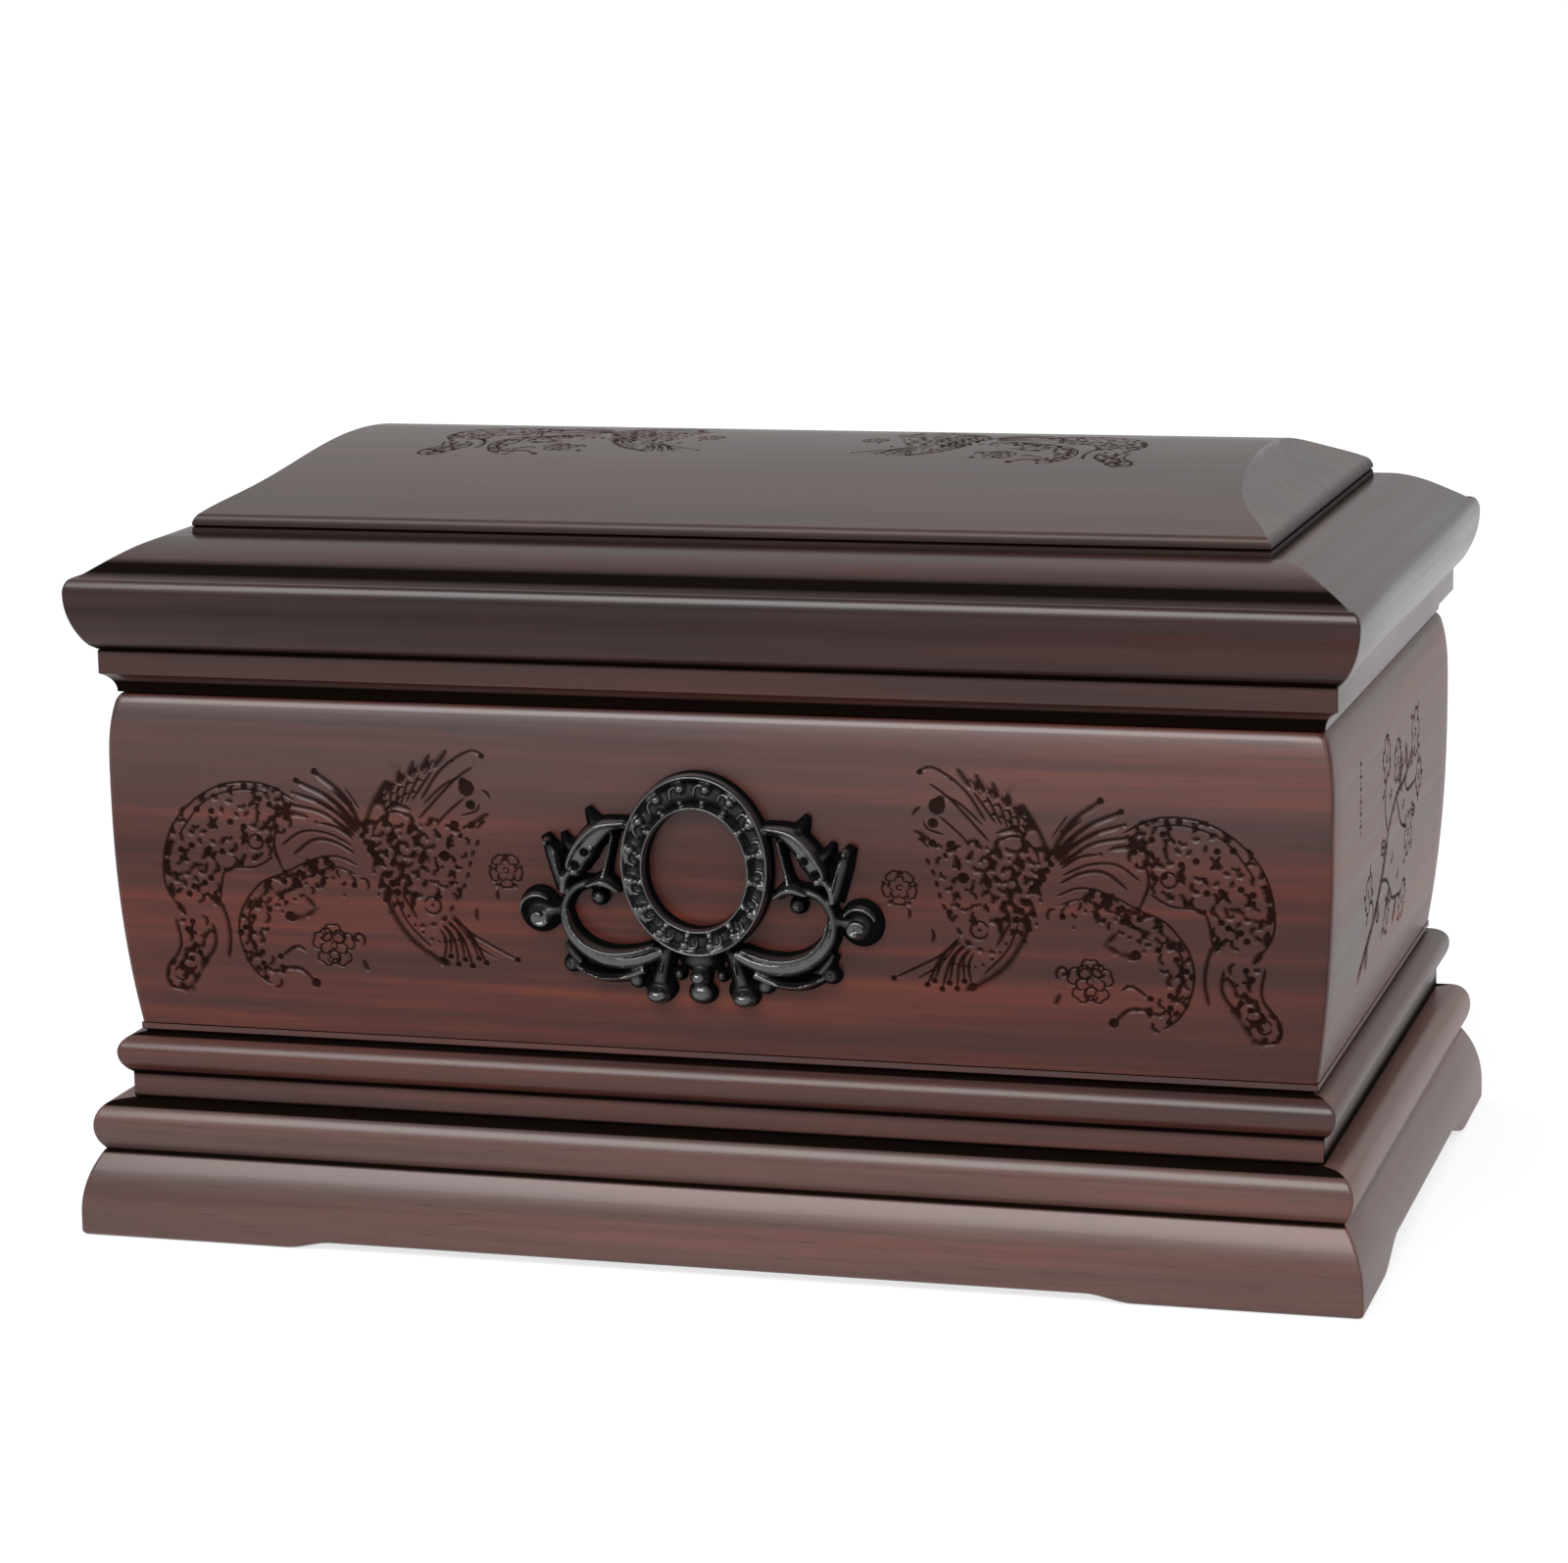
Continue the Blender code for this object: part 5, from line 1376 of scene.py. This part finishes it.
def add_rosette(shape, centre, radius, way):
    """A dark saucer with a bright arc on its upper side and a knob low in its middle."""
    add_bead(shape, centre, (radius, 1.08 * radius, 3.2))
    angles = np.radians(np.linspace(100 - way * 85, 100 + way * 55, 24))
    arc = around(centre, 0.74 * radius, angles)
    t = np.linspace(-1, 1, len(arc))
    add_tube(shape, arc, 1.0 - 0.5 * t * t, 5.4 - 0.9 * t * t)
    heart = (centre[0] - way * 0.12 * radius, centre[1] - 0.22 * radius)
    add_bead(shape, heart, (0.56 * radius, 0.54 * radius, 5.6))
    t = np.linspace(0, 1, 30)
    line = around(heart, radius * (0.40 - 0.26 * t), way * (1.7 * math.pi * t + 0.4))
    add_tube(shape, line, 0.5, 0.9, lift=4.6 + 1.0 * t)


def add_upper_leaf(shape, way):
    """The drilled leaf from the oval's shoulder with its spike, and the dark horn beyond it."""
    add_scroll(shape, [(17, 46), (21.5, 45.4), (26.6, 42), (29.6, 37.6), (30.8, 34.4)],
               (1.4, 1.7, 2.8, 3.4, 2.3), 5.1, way)
    add_scroll(shape, [(17.6, 46.8), (24.4, 45.8), (29, 42), (32, 37.2), (32.6, 34.6)],
               (0.8, 1.4, 1.5, 0.8), 6.9, way)
    add_bead(shape, (way * 31, 34), (2.0, 1.9, 5.7))
    add_bead(shape, (way * 26.4, 40.2), (1.2, 1.3, 5.2))
    add_scroll(shape, [(25.2, 44.8), (26.8, 47.2), (28, 49.8)], (2.2, 1.5, 0.35), 3.3, way)
    add_scroll(shape, [(34.4, 28.8), (35.6, 33.2), (37, 38.2), (39.2, 42.6)], (1.9, 2.1, 2.2, 0.8), 3.6, way)
    add_scroll(shape, [(34.2, 30.6), (35.4, 34.8), (36.4, 38.6)], (0.4, 0.6, 0.3), 5.2, way)
    add_bead(shape, (way * 38, 41.2), (1.3, 1.4, 6.2))
    add_scroll(shape, [(31.8, 39.4), (33.6, 41.2), (34.4, 43.4)], (1.6, 1.2, 0.35), 3.3, way)
    add_scroll(shape, [(32.4, 34), (34, 31.6), (34.4, 28.4)], (1.2, 1.4, 1.4), 4.5, way)


def add_big_scroll(shape, way):
    """The C-shaped scroll: a thick crescent below, thinning up its outer side to a curl that hangs inside."""
    crescent = [(9, 14.6), (15, 12.2), (21, 11.6), (26.6, 12.9), (31.4, 16.2), (34, 20.4), (34.3, 24.6),
                (32.2, 28.8), (28.6, 30.9), (24.6, 31)]
    add_scroll(shape, crescent, (1.8, 2.7, 3.0, 2.2, 1.4, 1.35, 1.5), 5.2, way)
    add_scroll(shape, [(11, 16), (17, 14.2), (23, 13.9), (28.4, 15.8), (32, 19.6), (33.4, 24)],
               (0.6, 0.9, 0.9, 0.5), 6.7, way)
    add_scroll(shape, [(19.6, 29.4), (23.8, 31.8), (28.2, 30.4)], (0.8, 1.8, 0.8), 6.8, way)
    add_scroll(shape, [(24, 31.4), (23.1, 35), (22, 39.4), (21, 43.6)], (1.5, 0.7, 0.6, 0.7), 5.8, way)
    add_bead(shape, (way * 25.4, 27.4), (2.4, 2.4, 3.9))
    add_bead(shape, (way * 26.0, 27.6), (0.8, 0.8, 4.9))


def add_lower_leaves(shape, way):
    """The ledge under the scroll with its dark end curl, and a black foot with a bright toe."""
    add_scroll(shape, [(14, 9.6), (20, 7.3), (26.5, 7.3), (31.6, 9.4)], (1.6, 1.3, 1.3, 0.9), 4.6, way)
    add_scroll(shape, [(19, 7.5), (25, 7.3), (30, 8.7)], (0.4, 0.7, 0.4), 5.8, way)
    add_bead(shape, (way * 33.2, 10.0), (2.5, 2.5, 3.7))
    add_bead(shape, (way * 33.4, 10.4), (0.8, 0.8, 4.8))
    add_scroll(shape, [(30.4, 10.6), (32.6, 13), (34.2, 15.6)], (1.3, 1.3, 0.9), 3.7, way)
    add_scroll(shape, [(8, 15), (9.4, 10.6), (10.6, 6.4)], (2.0, 2.2, 2.6), 3.7, way)
    add_scroll(shape, [(8.8, 13.4), (9.6, 10), (10, 7.2)], (0.3, 0.55, 0.3), 4.9, way)
    add_bead(shape, (way * 10.6, 4.8), (4.2, 3.7, 3.3))
    add_bead(shape, (way * 11, 3.2), (3.6, 2.7, 6.4))
    add_bead(shape, (way * 16.4, 6.4), (2.4, 2.2, 4.0))
    add_bead(shape, (way * 5.4, 8.6), (1.6, 1.9, 3.7))


def add_ornament_half(shape, way):
    """Everything beside the oval on one side."""
    add_upper_leaf(shape, way)
    add_big_scroll(shape, way)
    add_lower_leaves(shape, way)
    add_scroll(shape, [(33.8, 24.4), (36.4, 23.6), (38.6, 23.4)], (1.8, 1.6, 2.2), 3.8, way)
    add_rosette(shape, (way * 41.0, 23.5), 5.7, way)


def fused(shape, scale):
    """One closed bmesh, in metres, made from bars and beads that overlap, its creases a little softened."""
    rough_mesh = bpy.data.meshes.new("ornament_rough")
    shape.to_mesh(rough_mesh)
    shape.free()
    rough_mesh.transform(Matrix.Scale(scale * MM, 4))
    rough = bpy.data.objects.new("ornament_rough", rough_mesh)
    bpy.context.scene.collection.objects.link(rough)
    fuse = rough.modifiers.new("fuse", "REMESH")
    fuse.mode = "VOXEL"
    fuse.voxel_size = ORNAMENT_VOXEL
    soften = rough.modifiers.new("soften", "SMOOTH")
    soften.factor = 0.5
    soften.iterations = 3
    bpy.context.view_layer.update()
    graph = bpy.context.evaluated_depsgraph_get()
    mesh = bpy.data.meshes.new_from_object(rough.evaluated_get(graph))
    bpy.data.objects.remove(rough, do_unlink=True)
    solid = bmesh.new()
    solid.from_mesh(mesh)
    bpy.data.meshes.remove(mesh)
    return solid


def cut_flat(solid):
    """Cut off what lies behind the wall's plane, and close the cut."""
    cut = bmesh.ops.bisect_plane(solid, geom=solid.verts[:] + solid.edges[:] + solid.faces[:],
                                 plane_co=(0, 0, 0), plane_no=(0, 0, -1), clear_outer=True)
    rim = [item for item in cut["geom_cut"] if isinstance(item, bmesh.types.BMEdge)]
    bmesh.ops.triangle_fill(solid, edges=rim, use_beauty=True)


def ornament_painted_shade(u, v, out):
    """How dull and dark the black is, as painted shade: fully low down and in the drilled holes, which are
    painted rather than cut, not at all on the high tops.
    """
    shade = clamp((ORNAMENT_BRIGHT_HEIGHT - out) / ORNAMENT_FADE)
    for (hole_u, hole_v), radius in DRILLED_HOLES:
        away = math.hypot(abs(u) - hole_u, v - hole_v)
        shade = max(shade, min(max(1.4 - away / radius, 0.0) / 0.4, 1.0))
    return shade


def make_ornament(material):
    """Bars and beads fused into one body, cut flat behind and bent over the swelling wall."""
    shape = bmesh.new()
    add_oval(shape)
    for way in (-1, 1):
        add_ornament_half(shape, way)
    add_bead(shape, (0, 4.0), (3.8, 3.2, 4.6))
    add_bead(shape, (0, 8.4), (2.8, 2.8, 6.8))
    add_bead(shape, (0, 12.4), (6.0, 3.2, 3.6))
    bmesh.ops.recalc_face_normals(shape, faces=shape.faces[:])
    scale = (BODY_HEIGHT - ORNAMENT_FOOT_MARGIN - ORNAMENT_HEAD_MARGIN) / (ORNAMENT_DRAWN_HEIGHT * MM)
    solid = fused(shape, scale)
    cut_flat(solid)
    stain_and_shade = solid.verts.layers.float.new("stain_and_shade")
    for vert in solid.verts:
        across, up, out = vert.co
        # Painted shade by height above the wall, and in the uncut holes
        vert[stain_and_shade] = ornament_painted_shade(across / (scale * MM), up / (scale * MM), out)
        height = ORNAMENT_FOOT_MARGIN + up
        stand = HALF_DEPTH + body_reach(height) + ORNAMENT_GAP
        vert.co = (across, -(stand + max(out, 0)), BODY_BASE + height)
    finish_mesh("ornament_frame", solid, material, sharp=60)


# Room

def turned(right, up, back, place):
    """The matrix of a camera or lamp that looks away from back, with its own right and up."""
    return Matrix.Translation(place) @ Matrix((right, up, back)).transposed().to_4x4()


def make_camera():
    yaw, pitch, roll = (math.radians(a) for a in (CAMERA_YAW, CAMERA_PITCH, CAMERA_ROLL))
    ahead = np.array([-math.sin(yaw) * math.cos(pitch), math.cos(yaw) * math.cos(pitch), -math.sin(pitch)])
    level = np.array([math.cos(yaw), math.sin(yaw), 0.0])
    upright = np.cross(level, ahead)
    right = math.cos(roll) * level + math.sin(roll) * upright
    up = -math.sin(roll) * level + math.cos(roll) * upright
    lens = bpy.data.cameras.new("camera")
    lens.lens = CAMERA_LENS
    lens.sensor_width = CAMERA_SENSOR
    camera = bpy.data.objects.new("camera", lens)
    camera.matrix_world = turned(right, up, -ahead, CAMERA_PLACE)
    bpy.context.scene.collection.objects.link(camera)
    bpy.context.scene.camera = camera


def make_softbox():
    """A rectangular soft light over the front, aimed at the box."""
    light = bpy.data.lights.new("softbox_front", "AREA")
    light.shape = "RECTANGLE"
    light.size, light.size_y = SOFTBOX_SIZE
    light.energy = SOFTBOX_POWER
    aim = np.array(SOFTBOX_TARGET, float) - np.array(SOFTBOX_PLACE, float)
    aim /= np.linalg.norm(aim)
    right = np.cross(aim, (0, 0, 1))
    right /= np.linalg.norm(right)
    lamp = bpy.data.objects.new("softbox_front", light)
    lamp.matrix_world = turned(right, np.cross(right, aim), -aim, SOFTBOX_PLACE)
    bpy.context.scene.collection.objects.link(lamp)


def make_walls():
    """Walls that brighten upwards and to the right, and a dark ceiling."""
    world = bpy.data.worlds.new("studio")
    bpy.context.scene.world = world
    n = Nodes(world, "Background")
    axes = n.axes(n.add("ShaderNodeTexCoord").outputs["Generated"])
    n.set("Color", n.ramp(axes["Z"], [(height, (level,) * 3) for height, level in ROOM_BANDS]))
    n.set("Strength", n.spread(axes["X"], (0.0, 0.2), (ROOM_LEFT_STRENGTH, ROOM_RIGHT_STRENGTH)))


def make_floor():
    """A pale floor that glows a little, just under the feet."""
    half = FLOOR_HALF_SIZE
    sheet = bpy.data.meshes.new("floor")
    corners = [(-half, -half, 0), (half, -half, 0), (half, half, 0), (-half, half, 0)]
    sheet.from_pydata(corners, [], [(0, 1, 2, 3)])
    floor = bpy.data.objects.new("floor", sheet)
    floor.location.z = -FLOOR_DROP
    bpy.context.scene.collection.objects.link(floor)
    n = new_material("pale_floor")
    n.set("Base Color", FLOOR_GREY)
    n.set("Roughness", 0.9)
    n.set("Emission Color", (1, 1, 1))
    n.set("Emission Strength", FLOOR_GLOW)
    sheet.materials.append(n.owner)


def make_woods():
    """Each board's dark, middle and red tones, the shift of its grain, its roughness and its shine; on the
    body and the lid the shine rises with height as a painted sheen.
    """
    # Painted sheen: the specular level rises towards the top of the body and up the lid's slope
    body_painted_sheen = ((BODY_BASE + 0.56 * BODY_HEIGHT, BODY_BASE + 0.95 * BODY_HEIGHT), (0.20, 0.60))
    lid_painted_sheen = ((LID_BASE + LID_OVOLO_HEIGHT, LID_BASE + LID_FILLET_HEIGHT), (0.25, 0.42))
    tones = {
        "plinth": ((0.044, 0.022, 0.019), (0.074, 0.032, 0.026), (0.115, 0.040, 0.029), 0.3, 0.34,
                   EVEN_SHINE),
        "waist": ((0.022, 0.008, 0.007), (0.044, 0.012, 0.009), (0.080, 0.019, 0.011), 1.7, 0.36,
                  EVEN_SHINE),
        "body": ((0.024, 0.008, 0.007), (0.048, 0.012, 0.009), (0.106, 0.021, 0.010), 3.1, 0.38,
                 body_painted_sheen),
        "neck": ((0.016, 0.005, 0.004), (0.032, 0.008, 0.006), (0.062, 0.015, 0.009), 4.9, 0.36,
                 NECK_SHINE),
        "lid": ((0.010, 0.003, 0.003), (0.022, 0.006, 0.005), (0.052, 0.012, 0.008), 6.2, 0.32,
                lid_painted_sheen),
        "crown": ((0.018, 0.011, 0.010), (0.030, 0.015, 0.013), (0.045, 0.019, 0.014), 7.4, 0.36,
                  EVEN_SHINE),
    }
    woods = {}
    for board_name, (dark, middle, red, shift, gloss, shine) in tones.items():
        woods[board_name] = rosewood(board_name + "_wood", dark, middle, red, shift, gloss, shine)
        if board_name != "crown":
            end_gloss = gloss + END_ROUGHNESS.get(board_name, 0)
            end_name = board_name + "_end"
            woods[end_name] = rosewood(end_name + "_wood", dark, middle, red, shift, end_gloss)
    return woods


def main():
    bpy.context.scene.view_settings.view_transform = "Standard"
    make_camera()
    make_walls()
    make_floor()
    make_softbox()
    wood = make_woods()
    make_mouldings(wood)
    make_body(wood["body"], wood["body_end"])
    make_crown(wood["crown"])
    make_ornament(black_gloss("ornament_black"))
    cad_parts["bottom_board"].material_slots[0].material = plain_board("bottom_wood")


main()
